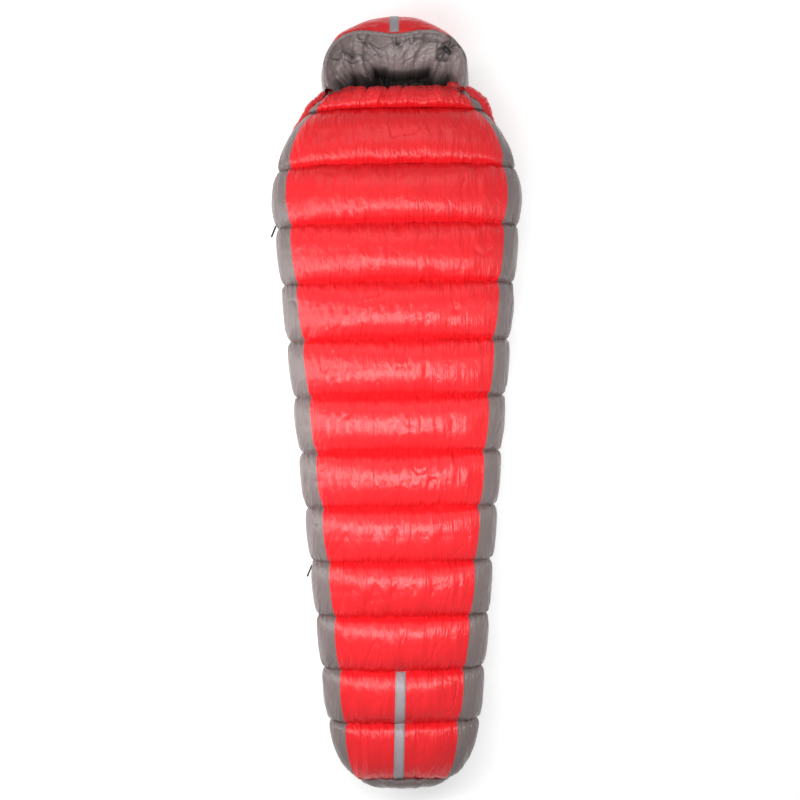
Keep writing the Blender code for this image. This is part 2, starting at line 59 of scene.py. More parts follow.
# Seams and outline, as the CAD has them
CHAMBERS = 13
NECK_Y = float(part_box("top_chamber_01")[1][1])
FOOT_PANEL_Y = float(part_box(f"top_chamber_{CHAMBERS:02d}")[0][1])
SEAMS = [float(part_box(f"top_chamber_{k:02d}")[1][1]) for k in range(2, CHAMBERS + 1)]
EDGES = [NECK_Y] + SEAMS + [FOOT_PANEL_Y]
CHEST_Y = 0.53
TAPER_Y = -0.775
END_Y = -1.0465
CHEST_WIDTH = 0.334
FOOT_WIDTH = 0.2145
EQUATOR_Z = 0.150
ZIP_Z = 0.097
ZIP_BOTTOM_Y = -0.465
PULL_REST_SWING = math.radians(28)
TAB_REACH = np.array([-0.203, 0.811, 0.157])  # where the hook tab's tip lies when it is open
HOOD_HALF_WIDTH = 0.2017
HOOD_DEPTH = 0.170
HOOD_CENTRE_Y = 0.8765
HOOD_ENDS = (-17, 197)  # degrees round the hood's arch
HOOD_ANGLES = np.linspace(*HOOD_ENDS, 150)
TOP_ROWS = 18  # rows of points in each chamber
BOTTOM_ROWS = 12

# Finish
RED = (0.86, 0.015, 0.022)
GREY = (0.205, 0.162, 0.158)
LINING = (0.30, 0.255, 0.250)
WEAVE_THREADS = 2600.0
WORLD_LIGHT = 0.35
FLOOR_GLOW = 0.45


# Camera, straight above the bag and turned a little to match how it lies


def add_camera():
    camera = bpy.data.cameras.new("camera")
    camera.sensor_width = 36.0
    camera.lens = 47.9
    obj = link("camera", camera)
    obj.location = (0.0013, 0.0065, 3.0)
    obj.rotation_euler = (0, 0, math.radians(-0.8))
    bpy.context.scene.camera = obj


# Mesh helpers


def link(name, data):
    """A new object in the scene."""
    obj = bpy.data.objects.new(name, data)
    bpy.context.scene.collection.objects.link(obj)
    return obj


def add_object(name, mesh, materials, body="bag", smooth=True):
    for material in materials:
        mesh.materials.append(material)
    if smooth:
        mesh.shade_smooth()
    obj = link(name, mesh)
    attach(obj, body)
    return obj


def grid_mesh(name, points, uv, close_u=False, slots=None, seam=None):
    """A mesh from a grid of points, shape (rows, columns, 3). uv has the same grid, in metres."""
    rows, columns = points.shape[:2]
    index = np.arange(rows * columns).reshape(rows, columns)
    if close_u:
        index = np.concatenate([index, index[:, :1]], axis=1)
    a, b = index[:-1, :-1], index[:-1, 1:]
    c, d = index[1:, 1:], index[1:, :-1]
    faces = np.stack([a, d, c, b], axis=-1).reshape(-1, 4)
    mesh = bpy.data.meshes.new(name)
    mesh.from_pydata(points.reshape(-1, 3).tolist(), [], faces.tolist())
    layer = mesh.uv_layers.new(name="cloth")
    layer.data.foreach_set("uv", uv.reshape(-1, 2)[faces.ravel()].astype(np.float32).ravel())
    if slots is not None:
        mesh.polygons.foreach_set("material_index", slots.ravel().astype(np.int32))
    if seam is not None:
        mask = mesh.attributes.new("seam", "FLOAT", "POINT")
        mask.data.foreach_set("value", seam.ravel().astype(np.float32))
    mesh.update()
    return mesh


def along(points, count):
    """The curve through the points, cut into count points at equal distances."""
    steps = np.linalg.norm(np.diff(points, axis=0), axis=1)
    distance = np.concatenate([[0], np.cumsum(steps)])
    wanted = np.linspace(0, distance[-1], count)
    return np.stack([np.interp(wanted, distance, points[:, k]) for k in range(points.shape[1])], axis=1)


def arc_grid(points):
    """Distances along the rows and columns of a grid, as a flat cloth would measure them."""
    across = np.linalg.norm(np.diff(points, axis=1), axis=2)
    down = np.linalg.norm(np.diff(points, axis=0), axis=2)
    u = np.concatenate([np.zeros((len(points), 1)), np.cumsum(across, axis=1)], axis=1)
    v = np.concatenate([np.zeros((1, points.shape[1])), np.cumsum(down, axis=0)], axis=0)
    return u - u.mean(axis=1, keepdims=True), v


def noise_curve(x, wavelength, seed):
    """Smooth random values from -1 to 1 along x."""
    knots = np.random.default_rng(seed).uniform(-1, 1, 4096)
    place = np.asarray(x) / wavelength + 2000.0
    low = np.floor(place).astype(int)
    t = place - low
    t = t * t * (3 - 2 * t)
    return knots[low % 4096] * (1 - t) + knots[(low + 1) % 4096] * t


# Shape of the bag


def tapered(y, chest, foot):
    share = (CHEST_Y - np.minimum(y, CHEST_Y)) / (CHEST_Y - TAPER_Y)
    return chest + (foot - chest) * share


def shoulder(y):
    return np.clip((y - CHEST_Y) / (0.845 - CHEST_Y), 0, 1)


def foot(y):
    return np.clip((TAPER_Y - y) / (TAPER_Y - END_Y), 0, 1)


def foot_factor(y):
    return (1 - foot(y) ** 2.7) ** (1 / 2.7)


def half_width(y):
    return (tapered(y, CHEST_WIDTH, FOOT_WIDTH) - 0.165 * shoulder(y) ** 2.2) * foot_factor(y)


def red_half_width(y):
    return (tapered(y, 0.285, 0.155) - 0.150 * shoulder(y) ** 2.8) * foot_factor(y) ** 0.25


def crown_height(y):
    return tapered(y, 0.275, 0.235) - 0.070 * shoulder(y) ** 2 - 0.055 * foot(y) ** 2


def bulge(share):
    return np.sqrt(np.clip(1 - np.abs(2 * share - 1) ** 2.4, 0, 1))


def top_section(y, share, counts):
    """Section of the top quilt at y, from the left zipper seam over the top to the right seam."""
    swell = float(bulge(share))
    width = float(half_width(y)) - 0.013 * (1 - swell)
    height = float(crown_height(y)) - 0.034 * (1 - swell)
    turn = np.linspace(0, math.pi / 2, 200)
    x = width * np.cos(turn) ** (2 / 2.5)
    z = EQUATOR_Z + (height - EQUATOR_Z) * np.sin(turn) ** (2 / 2.5)
    edge = min(float(red_half_width(y)) - 0.003 + 0.007 * swell, width - 0.004)
    seam = float(half_width(y)) - 0.013
    drift = 0.009 * min(max((-0.5 - y) / 0.5, 0.0), 1.0)
    panel = np.stack([x, z], axis=1)
    parts, halves = [], []
    above_zip = min(max((y - ZIP_BOTTOM_Y + 0.040) / 0.030, 0.0), 1.0)
    for side, low in ((-1, 0.062 + 0.0455 * above_zip), (1, 0.062)):
        turn_x = edge - side * drift
        corner = [turn_x, np.interp(turn_x, x[::-1], z[::-1])]
        skirt = np.array([[seam - 0.004, low], [(width + seam) / 2 + 0.002, (EQUATOR_Z + low) / 2]])
        wall = np.concatenate([skirt, panel[x > turn_x], [corner]])
        parts.append(along(wall, counts[0] + 1) * [side, 1])
        halves.append(np.concatenate([[corner], panel[x <= turn_x], [[0.0, height]]]) * [side, 1])
    red = along(np.concatenate([halves[0], halves[1][-2::-1]]), counts[1] + 1)
    section = np.concatenate([parts[0], red[1:-1], parts[1][::-1]])
    return np.stack([section[:, 0], np.full(len(section), y), section[:, 1]], axis=1)


def chamber_rows(edges, rows):
    """(y, share) of every row of a quilt, with one row on each seam."""
    found = []
    for head, foot_end in zip(edges, edges[1:]):
        for k in range(rows):
            found.append((head + (foot_end - head) * k / rows, k / rows))
    return found + [(edges[-1], 1.0)]


# Cloth simulation


def simulate(obj, pinned, rest, pressure, frames, bending, cap=0.020):
    """Cloth with pinned vertices and flat rest lengths, settled under the pressure of its filling.

    No point moves further than cap."""
    start = mesh_points(obj)
    group = obj.vertex_groups.new(name="pins")
    group.add([int(index) for index in pinned], 1.0, "REPLACE")
    obj.shape_key_add(name="Basis")
    key = obj.shape_key_add(name="flat")
    key.data.foreach_set("co", rest.astype(np.float32).ravel())
    key.value = 0.0
    modifier = obj.modifiers.new("Cloth", "CLOTH")
    cloth = modifier.settings
    cloth.quality = 5
    cloth.mass = 0.15
    cloth.air_damping = 2.0
    cloth.tension_stiffness = cloth.compression_stiffness = 25.0
    cloth.shear_stiffness = 6.0
    cloth.bending_stiffness = bending
    cloth.vertex_group_mass = "pins"
    cloth.rest_shape_key = key
    cloth.use_pressure = True
    cloth.uniform_pressure_force = pressure
    cloth.effector_weights.gravity = 0.0
    modifier.collision_settings.use_collision = False
    modifier.point_cache.frame_start = 1
    modifier.point_cache.frame_end = frames
    scene = bpy.context.scene
    for number in range(1, frames + 1):
        scene.frame_set(number)
    apply_modifiers(obj)
    obj.vertex_groups.clear()
    scene.frame_set(1)
    moved = mesh_points(obj) - start
    far = np.linalg.norm(moved, axis=1, keepdims=True)
    soft = cap * np.tanh(far / cap)
    points = start + moved * soft / np.maximum(far, 1e-9)
    obj.data.vertices.foreach_set("co", points.astype(np.float32).ravel())
    obj.data.update()


def crumple(obj, pinned, slack, pressure, frames, bending=0.01):
    """A piece of lining with more cloth than it needs, settled into folds."""
    points = mesh_points(obj)
    points += random.normal(0, 0.0006, points.shape)
    obj.data.vertices.foreach_set("co", points.ravel())
    centre = points.mean(axis=0)
    simulate(obj, pinned, centre + (points - centre) * (1 + slack), pressure, frames, bending)


def mesh_points(obj):
    points = np.empty(len(obj.data.vertices) * 3, np.float32)
    obj.data.vertices.foreach_get("co", points)
    return points.reshape(-1, 3)


# Materials


def nodes_of(material):
    return material.node_tree.nodes, material.node_tree.links


def simple_material(name, colour, roughness, metallic=0.0):
    material = bpy.data.materials.new(name)
    material.use_nodes = True
    shader = material.node_tree.nodes["Principled BSDF"]
    shader.inputs["Base Color"].default_value = (*colour, 1)
    shader.inputs["Roughness"].default_value = roughness
    shader.inputs["Metallic"].default_value = metallic
    return material


def cloth_uv(nodes):
    node = nodes.new("ShaderNodeUVMap")
    node.uv_map = "cloth"
    return node.outputs["UV"]


def seam_value(nodes):
    node = nodes.new("ShaderNodeAttribute")
    node.attribute_name = "seam"
    return node.outputs["Fac"]


def math_node(nodes, links, operation, a, b=None):
    node = nodes.new("ShaderNodeMath")
    node.operation = operation
    for socket, value in zip(node.inputs, (a, b)):
        if isinstance(value, (int, float)):
            socket.default_value = value
        elif value is not None:
            links.new(value, socket)
    return node.outputs[0]


def stretched_noise(nodes, links, uv, across, down, detail, distortion=0.0):
    """Noise on the cloth, with so many features a metre across it and down it."""
    mapping = nodes.new("ShaderNodeMapping")
    mapping.inputs["Scale"].default_value = (across, down, 1)
    links.new(uv, mapping.inputs["Vector"])
    noise = nodes.new("ShaderNodeTexNoise")
    noise.inputs["Scale"].default_value = 1.0
    noise.inputs["Detail"].default_value = detail
    noise.inputs["Distortion"].default_value = distortion
    links.new(mapping.outputs["Vector"], noise.inputs["Vector"])
    return noise.outputs["Fac"]


def bump(nodes, links, height, distance, strength, below=None):
    node = nodes.new("ShaderNodeBump")
    node.inputs["Distance"].default_value = distance
    node.inputs["Strength"].default_value = strength
    links.new(height, node.inputs["Height"])
    if below is not None:
        links.new(below, node.inputs["Normal"])
    return node.outputs["Normal"]


def add_weave(nodes, links, uv, normal):
    """The weave's fine bumps over the larger ones of the cloth, joined to its shader."""
    weave = nodes.new("ShaderNodeTexChecker")
    weave.inputs["Scale"].default_value = WEAVE_THREADS
    links.new(uv, weave.inputs["Vector"])
    normal = bump(nodes, links, weave.outputs["Fac"], 0.00003, 0.5, normal)
    links.new(normal, nodes["Principled BSDF"].inputs["Normal"])


def colour_between(nodes, links, factor, low, high):
    """Base colour from low to high, as the factor goes from 0 to 1."""
    ramp = nodes.new("ShaderNodeMix")
    ramp.data_type = "RGBA"
    ramp.inputs["A"].default_value = (*low, 1)
    ramp.inputs["B"].default_value = (*[min(1.0, c) for c in high], 1)
    links.new(factor, ramp.inputs["Factor"])
    links.new(ramp.outputs["Result"], nodes["Principled BSDF"].inputs["Base Color"])


def creased_nylon(name, colour, painted_shade=False):
    """Loose thin nylon: sharp crumples of several sizes, a weave, and a colour that varies a little."""
    material = simple_material(name, colour, 0.31)
    nodes, links = nodes_of(material)
    uv = cloth_uv(nodes)
    normal = None
    for scale, height, distortion in ((20.0, 0.006, 0.6), (52.0, 0.0021, 0.4)):
        noise = nodes.new("ShaderNodeTexNoise")
        noise.noise_type = "RIDGED_MULTIFRACTAL"
        noise.inputs["Scale"].default_value = scale
        noise.inputs["Detail"].default_value = 1.5
        noise.inputs["Distortion"].default_value = distortion
        links.new(uv, noise.inputs["Vector"])
        normal = bump(nodes, links, noise.outputs["Fac"], height, 0.8, normal)
    add_weave(nodes, links, uv, normal)
    factor = stretched_noise(nodes, links, uv, 11, 11, 2.0)
    # Painted shade: when turned on, the colour is darkened towards 0.30 of its own where the mesh's 'seam'
    # value is low, which on the hood lining is where it lies deep.
    dark = 0.30 if painted_shade else 0.88
    if painted_shade:
        factor = math_node(nodes, links, "MULTIPLY_ADD", factor, 0.3)
        links.new(seam_value(nodes), factor.node.inputs[2])
    colour_between(nodes, links, factor, [c * dark for c in colour], [c * 1.08 for c in colour])
    return material


def nylon(name, colour, roughness=0.29):
    """Thin woven nylon: gathers that fade away from the seams, fine crinkles, a weave and a soft sheen."""
    material = simple_material(name, colour, roughness)
    nodes, links = nodes_of(material)
    uv = cloth_uv(nodes)
    fine = stretched_noise(nodes, links, uv, 150, 15, 3.0, 0.35)
    away = math_node(nodes, links, "POWER", seam_value(nodes), 0.7)
    near = math_node(nodes, links, "SUBTRACT", 1.15, away)
    fine = math_node(nodes, links, "MULTIPLY", fine, near)
    normal = bump(nodes, links, fine, 0.0055, 1.0)
    loose = stretched_noise(nodes, links, uv, 42, 26, 4.0, 0.8)
    normal = bump(nodes, links, loose, 0.0026, 1.0, normal)
    add_weave(nodes, links, uv, normal)
    patches = stretched_noise(nodes, links, uv, 9, 9, 2.0)
    colour_between(nodes, links, patches, [c * 0.90 for c in colour], [c * 1.10 for c in colour])
    shine = math_node(nodes, links, "MULTIPLY_ADD", patches, 0.10)
    shine.node.inputs[2].default_value = roughness - 0.05
    links.new(shine, nodes["Principled BSDF"].inputs["Roughness"])
    return material


# Quilts


def collar_rows(section, count=5):
    """Rows that roll the top quilt's neck edge over and down to the lining."""
    rows = []
    for k in range(1, count + 1):
        turn = math.pi / 2 * k / count
        row = section.copy()
        row[:, 1] += 0.008 * math.sin(turn)
        high = np.maximum(row[:, 2], 0.112)
        row[:, 2] = np.where(section[:, 2] > 0.112, 0.148 + (high - 0.148) * math.cos(turn) ** 0.8, row[:, 2])
        row[:, 0] *= 1 - 0.03 * (k / count) ** 2
        rows.append(row)
    return rows[::-1]


def cubic_at(points, wanted):
    """Rows at fractional row numbers, on the smooth curve or surface through rows of points."""
    padded = np.concatenate([2 * points[:1] - points[1:2], points, 2 * points[-1:] - points[-2:-1]])
    k = np.minimum(wanted.astype(int), len(points) - 2)
    t = (wanted - k).reshape(-1, *[1] * (points.ndim - 1))
    a, b, c, d = (padded[k + n] for n in range(4))
    return 0.5 * (2 * b + (c - a) * t + (2 * a - 5 * b + 4 * c - d) * t ** 2
                  + (3 * b - a - 3 * c + d) * t ** 3)


def cubic_rows(points, count):
    """Smooth rows between the rows of a grid, count times as many, ends kept."""
    last = len(points) - 1
    return cubic_at(points, np.linspace(0, last, last * count + 1))


def refine(points, stops, down, across):
    """A finer grid through the same points, smooth within a chamber and creased on the stops."""
    parts = []
    for low, high in zip(stops, stops[1:]):
        part = cubic_rows(points[low:high + 1], down)
        parts.append(part if high == stops[-1] else part[:-1])
    fine = np.concatenate(parts)
    return cubic_rows(fine.transpose(1, 0, 2), across).transpose(1, 0, 2)


def grid_normals(points):
    """Unit normals of a grid, on the side that faces up or away from the bag's middle line."""
    down = np.gradient(points, axis=0)
    across = np.gradient(points, axis=1)
    normals = np.cross(across, down)
    normals /= np.linalg.norm(normals, axis=-1, keepdims=True) + 1e-12
    away = points - [0, 0, 0.10]
    away[..., 1] = 0
    facing = np.sign((normals * away).sum(axis=-1).mean())
    return normals * facing


def noise_field(a, b, wave_a, wave_b, seed):
    """Smooth random values from -1 to 1 over a surface, with one wavelength along a and one along b."""
    knots = np.random.default_rng(seed).uniform(-1, 1, (512, 512))
    pa, pb = a / wave_a + 200.0, b / wave_b + 200.0
    ia, ib = np.floor(pa).astype(int), np.floor(pb).astype(int)
    ta, tb = pa - ia, pb - ib
    ta, tb = ta * ta * (3 - 2 * ta), tb * tb * (3 - 2 * tb)
    corner = [[knots[(ia + i) % 512, (ib + j) % 512] for j in (0, 1)] for i in (0, 1)]
    low = corner[0][0] * (1 - tb) + corner[0][1] * tb
    high = corner[1][0] * (1 - tb) + corner[1][1] * tb
    return low * (1 - ta) + high * ta


def gathers(u, y, head, foot_end, seed):
    """Height of the small tucks beside the seams, and of the loose wrinkles that cross a chamber."""
    from_head, from_foot = head - y, y - foot_end
    height = np.zeros_like(u)
    for side, distance, slant in ((0, from_head, 0.25), (1, from_foot, -0.35)):
        place = u + slant * distance * noise_field(u, distance * 0, 0.12, 1.0, seed + 5 + side)
        reach = 0.030 + 0.018 * noise_field(u, distance * 0, 0.035, 1.0, seed + 7 + side)
        fade = np.exp(-(distance / reach) ** 2) * np.clip(distance / 0.004, 0, 1)
        tucks = 0.55 - np.abs(noise_field(place, distance, 0.0080, 0.050, seed + side)) * 1.6
        broad = noise_field(place, distance, 0.019, 0.07, seed + 20 + side)
        height += fade * (0.0025 * tucks + 0.0018 * broad)
    middle = np.clip(np.minimum(from_head, from_foot) / 0.03, 0, 1)
    along_y = noise_field(u + 0.3 * y, y, 0.011, 0.060, seed + 30)
    patch = np.clip(0.35 + noise_field(u, y, 0.07, 0.05, seed + 31) * 1.4, 0, 1)
    crease = np.abs(noise_field(u - 0.25 * y, y, 0.045, 0.11, seed + 32))
    height += middle * patch * 0.0009 * along_y
    height -= middle * 0.0020 * np.exp(-(crease / 0.06) ** 2) * patch
    return height


def build_top_quilt(materials):
    counts = (15, 86)
    rows = chamber_rows(EDGES, TOP_ROWS)
    points = np.array([top_section(y, share, counts) for y, share in rows])
    crest = np.array([top_section(y, 0.5, counts) for y, share in rows])
    u, _ = arc_grid(crest)
    share = np.array([s for _, s in rows])
    seam = np.repeat(np.minimum(share, 1 - share)[:, None] * 2, u.shape[1], axis=1)
    puff = seam ** 0.5
    ripple = np.array([noise_curve(u[k], 0.013, 11 + k // TOP_ROWS) for k in range(len(rows))])
    lean = np.array([noise_curve(u[k] + 0.03 * share[k], 0.030, 50 + k // TOP_ROWS)
                     for k in range(len(rows))])
    points[..., 2] += puff * (0.0022 * ripple + 0.0030 * lean)
    gather = np.exp(-((np.array([y for y, _ in rows]) - NECK_Y) / 0.05) ** 2)[:, None]
    points[..., 2] += 0.006 * gather * np.array([noise_curve(u[k], 0.028, 5) for k in range(len(rows))])
    extra = collar_rows(points[0])
    collar = len(extra)
    points = np.concatenate([np.array(extra), points])
    seam = np.concatenate([np.repeat(seam[:1], collar, axis=0), seam])
    u = np.concatenate([np.repeat(u[:1], collar, axis=0), u])
    _, v = arc_grid(points)
    middle = v[:, v.shape[1] // 2:v.shape[1] // 2 + 1]
    rest = np.stack([u * 1.07, -np.repeat(middle, u.shape[1], axis=1) * 1.04, np.zeros_like(u)], axis=-1)
    slots = np.zeros((len(points) - 1, u.shape[1] - 1))
    slots[:, :counts[0]] = 1
    slots[:, -counts[0]:] = 1
    uv = np.stack([u, points[:, :, 1]], axis=-1)
    mesh = grid_mesh("top_quilt_rough", points, uv, slots=slots, seam=seam)
    rough = add_object("top_quilt_rough", mesh, [])
    index = np.arange(u.size).reshape(u.shape)
    seam_rows = [collar + k for k, (_, s) in enumerate(rows) if s in (0.0, 1.0)]
    pins = [*index[seam_rows].ravel(), *index[:, 0], *index[:, -1], *index[:collar].ravel()]
    simulate(rough, pins, rest, 2.5, 26, bending=0.02)
    settled = mesh_points(rough).reshape(points.shape).astype(float)
    bpy.data.objects.remove(rough)
    return finish_top_quilt(settled, [0] + seam_rows, seam, slots, materials)


def finish_top_quilt(settled, stops, seam, slots, materials):
    """The settled quilt on a finer grid, with its small tucks and wrinkles, its foot end turned under."""
    down, across = 2, 4
    fine = refine(settled, stops, down, across)
    mask = refine(seam[..., None], stops, down, across)[..., 0]
    u, _ = arc_grid(fine)
    normals = grid_normals(fine)
    stops = [k * down for k in stops]
    height = np.zeros(u.shape)
    for number, (low, high) in enumerate(zip(stops[1:], stops[2:])):
        part = slice(low, high + 1)
        y = fine[part, :, 1]
        height[part] = gathers(u[part], y, y[:1].max(), y[-1:].min(), 100 + 40 * number)
    neck_distance = np.clip(NECK_Y + 0.004 - fine[..., 1], 0, 1)
    crease = np.abs(noise_field(u + 0.3 * neck_distance, u * 0, 0.034, 1.0, 77))
    small = np.abs(noise_field(u - 0.2 * neck_distance, u * 0, 0.012, 1.0, 78))
    neck = np.exp(-(neck_distance / 0.050) ** 2) * np.clip((fine[..., 2] - 0.13) / 0.02, 0, 1)
    height += neck * (0.0075 * np.minimum(crease * 2.6, 1) + 0.0020 * np.minimum(small * 2, 1) - 0.006)
    fine = fine + normals * height[..., None]
    reach = np.linalg.norm(fine - TAB_REACH, axis=-1)
    inward = np.array([0.80, -0.35, -0.49])
    fine = fine + inward * (0.026 * np.exp(-(reach / 0.026) ** 2))[..., None]
    under = []
    for back, drop_z in ((0.001, 0.006), (0.0015, 0.020), (0.0, 0.045)):
        row = fine[-1].copy()
        row[:, 1] -= back
        row[:, 2] = np.maximum(row[:, 2] - drop_z, np.minimum(row[:, 2], 0.100))
        row[:, 0] *= 1 - drop_z
        under.append(row)
    fine = np.concatenate([fine, np.array(under)])
    mask = np.concatenate([mask, np.repeat(mask[-1:], 3, axis=0)])
    u = np.concatenate([u, np.repeat(u[-1:], 3, axis=0)])
    slots = np.repeat(np.repeat(slots, down, axis=0), across, axis=1)
    slots = np.concatenate([slots, np.repeat(slots[-1:], 3, axis=0)])
    uv = np.stack([u, fine[:, :, 1]], axis=-1)
    mesh = grid_mesh("top_quilt", fine, uv, slots=slots, seam=np.clip(mask, 0, 1))
    obj = add_object("top_quilt", mesh, materials)
    index = np.arange(u.size).reshape(u.shape)
    sharpen_rows(obj.data, {int(i) for k in stops[2:] for i in index[k]})
    walls = ["side_wall_left", "side_wall_right"]
    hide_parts(*[f"top_chamber_{k:02d}" for k in range(1, CHAMBERS + 1)], *walls)
    return obj, [fine[k] for k in stops[2:-1]]


def sharpen_rows(mesh, members):
    """Splits the shading along the seams, so that each reads as a crisp line."""
    edges = np.empty(len(mesh.edges) * 2, np.int32)
    mesh.edges.foreach_get("vertices", edges)
    inside = np.isin(edges, list(members)).reshape(-1, 2).all(axis=1)
    sharp = mesh.attributes.new("sharp_edge", "BOOLEAN", "EDGE")
    sharp.data.foreach_set("value", inside)


def build_stitches(name, lines, material, spacing=0.0040, length=0.0029, radius=0.00034, lift=0.0002):
    """Short raised threads along lines of points, all in one mesh."""
    verts, faces = [], []
    for line in lines:
        total = np.linalg.norm(np.diff(line, axis=0), axis=1).sum()
        dense = along(line, max(4, int(total / spacing) * 2))
        for a, b in zip(dense[::2], dense[1::2]):
            middle, reach = (a + b) / 2, b - a
            size = np.linalg.norm(reach)
            if size < 1e-6:
                continue
            reach = reach / size * length / 2
            side = np.cross(reach, (0, 0, 1))
            side = side / (np.linalg.norm(side) + 1e-12) * radius
            up = np.array([0, 0, radius])
            middle = middle + [0, 0, lift]
            start = len(verts)
            verts += [middle - reach, *(middle - reach * 0.5 + w for w in (side, up, -side, -up)),
                      *(middle + reach * 0.5 + w for w in (side, up, -side, -up)), middle + reach]
            for k in range(4):
                n = (k + 1) % 4
                faces += [(start, start + 1 + n, start + 1 + k), (start + 9, start + 5 + k, start + 5 + n),
                          (start + 1 + k, start + 1 + n, start + 5 + n, start + 5 + k)]
    mesh = bpy.data.meshes.new(name)
    mesh.from_pydata([tuple(map(float, v)) for v in verts], [], faces)
    mesh.update()
    obj = add_object(name, mesh, [material])
    return obj


def closed_section(width, low, high, power_x, power_z, count):
    """A rounded box section, anticlockwise from +X as seen from the foot."""
    turn = np.linspace(0, 2 * math.pi, 400, endpoint=False)
    x = width * np.sign(np.cos(turn)) * np.abs(np.cos(turn)) ** (2 / power_x)
    z = (low + high) / 2 + (high - low) / 2 * np.sign(np.sin(turn)) * np.abs(np.sin(turn)) ** (2 / power_z)
    ring = np.stack([x, z], axis=1)
    ring = np.concatenate([ring, ring[:1]])
    return along(ring, count + 1)[:-1]


def bottom_width(y):
    return tapered(y, CHEST_WIDTH, FOOT_WIDTH) * foot_factor(y) - 0.016 - 0.134 * shoulder(y) ** 2


def build_bottom_quilt(material):
    columns = 120
    rows = chamber_rows(EDGES, BOTTOM_ROWS)
    points, seam = [], []
    for y, share in rows:
        swell = float(bulge(share))
        low = 0.008 * max(0.0, 1 - 2 * swell)
        ring = closed_section(float(bottom_width(y)) - 0.010 * (1 - swell), low, 0.083, 4.5, 2.6, columns)
        points.append(np.stack([ring[:, 0], np.full(columns, y), ring[:, 1]], axis=1))
        seam.append(np.full(columns, min(share, 1 - share) * 2))
    points = np.array(points)
    caps = [points[0] * [0.97, 1, 1], points[0] * [0.8, 1, 0.4] + [0, 0.002, 0.026],
            points[0] * [0.02, 1, 0.02] + [0, 0.002, 0.043]]
    points = np.concatenate([np.array(caps[::-1]), points])
    seam = np.concatenate([np.ones((3, columns)), np.array(seam)])
    turn = np.linspace(0, 1, columns, endpoint=False)
    side = np.sign(points[..., 0]) * np.abs(points[..., 0] / points[..., 0].max()) ** 8
    wave = np.array([noise_curve(turn * 1.5 + k * 0.002, 0.016, 90 + k // BOTTOM_ROWS)
                     for k in range(len(points))])
    points[..., 0] += side * wave * 0.0035 * np.sqrt(seam)
    girth = np.linalg.norm(np.diff(points[10], axis=0), axis=1).sum()
    uv = np.stack([np.tile(turn * girth, (len(points), 1)), points[..., 1]], axis=-1)
    mesh = grid_mesh("bottom_quilt", points, uv, close_u=True, seam=seam)
    outward_normals(mesh)
    obj = add_object("bottom_quilt", mesh, [material])
    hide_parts(*[f"bottom_chamber_{k:02d}" for k in range(1, CHAMBERS + 1)])
    lines = [points[3 + BOTTOM_ROWS * k] for k in range(1, CHAMBERS)]
    return obj, [line[line[:, 2] < 0.06] for line in lines]


def outward_normals(mesh):
    bm = bmesh.new()
    bm.from_mesh(mesh)
    bmesh.ops.recalc_face_normals(bm, faces=bm.faces)
    bm.to_mesh(mesh)
    bm.free()


def build_foot_cap(material):
    """The rounded end of the foot, gathered where it meets the quilts."""
    columns = 120
    points = []
    steps = 16
    for k in range(steps + 1):
        t = k / steps
        size = max(0.02, math.sqrt(1 - t ** 2.2)) * (1 - 0.10 * math.exp(-(t / 0.05) ** 2))
        y = FOOT_PANEL_Y + 0.004 + (END_Y - FOOT_PANEL_Y - 0.004) * t ** 0.9
        ring = closed_section(0.128 * size, 0.082 - 0.078 * size, 0.082 + 0.088 * size, 2.6, 2.6, columns)
        turn = np.linspace(0, 1, columns, endpoint=False)
        gather = (noise_curve(turn * 1.2, 0.014, 33) * 0.0060 * (1 - t)
                  + noise_curve(turn * 1.2, 0.06, 34) * 0.004)
        points.append(np.stack([ring[:, 0], y - gather * 0.6, ring[:, 1]], axis=1))
    points = np.array(points)
    turn = np.linspace(0, 0.9, columns, endpoint=False)
    down = np.tile(np.linspace(0, 0.12, steps + 1)[:, None], columns)
    uv = np.stack([np.tile(turn, (steps + 1, 1)), down], axis=-1)
    seam = np.tile(np.linspace(0, 1, steps + 1)[:, None], columns)
    mesh = grid_mesh("foot_cap", points, uv, close_u=True, seam=seam)
    outward_normals(mesh)
    obj = add_object("foot_cap", mesh, [material])
    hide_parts("foot_end")


def tube_grid(path, across, up, columns, power=2.4, seed=1, noise=0.0):
    """Rings of a rounded section along a path of points, with half sizes across and up at each point."""
    path = np.asarray(path, float)
    ahead = np.gradient(path, axis=0)
    ahead /= np.linalg.norm(ahead, axis=1, keepdims=True)
    side = np.cross(ahead, (0, 0, 1))
    side /= np.linalg.norm(side, axis=1, keepdims=True)
    top = np.cross(side, ahead)
    turn = np.linspace(0, 2 * math.pi, columns, endpoint=False)
    c = np.sign(np.cos(turn)) * np.abs(np.cos(turn)) ** (2 / power)
    s = np.sign(np.sin(turn)) * np.abs(np.sin(turn)) ** (2 / power)
    across = np.broadcast_to(across, len(path))[:, None, None]
    up = np.broadcast_to(up, len(path))[:, None, None]
    size = 1.0
    if noise:
        size = 1 + noise * np.array([noise_curve(np.cos(turn + 0.2 * k) * 0.5 + k * 0.35, 0.4, seed) for k in
                                     range(len(path))])[..., None]
    round_path = across * c[None, :, None] * side[:, None] + up * s[None, :, None] * top[:, None]
    return path[:, None] + round_path * size


def smooth_path(points, count):
    """A smooth curve through control points of any number of values each, as count rows."""
    points = np.asarray(points, float)
    return cubic_at(points, np.linspace(0, len(points) - 1 - 1e-9, count))


def closed_tube(name, points, materials, body="bag"):
    """A mesh from the rings of a tube, with its ends drawn together."""
    first, last = points[0].mean(axis=0), points[-1].mean(axis=0)
    points = np.concatenate([[first + (points[0] - first) * 0.02], points,
                             [last + (points[-1] - last) * 0.02]])
    rows, columns = points.shape[:2]
    around = np.linalg.norm(points[rows // 2] - np.roll(points[rows // 2], 1, axis=0), axis=1).sum()
    u = np.tile(np.linspace(0, around, columns), (rows, 1))
    _, v = arc_grid(points)
    mesh = grid_mesh(name, points, np.stack([v, u], axis=-1), close_u=True,
                     seam=np.full((rows, columns), 0.5))
    outward_normals(mesh)
    return add_object(name, mesh, materials, body)


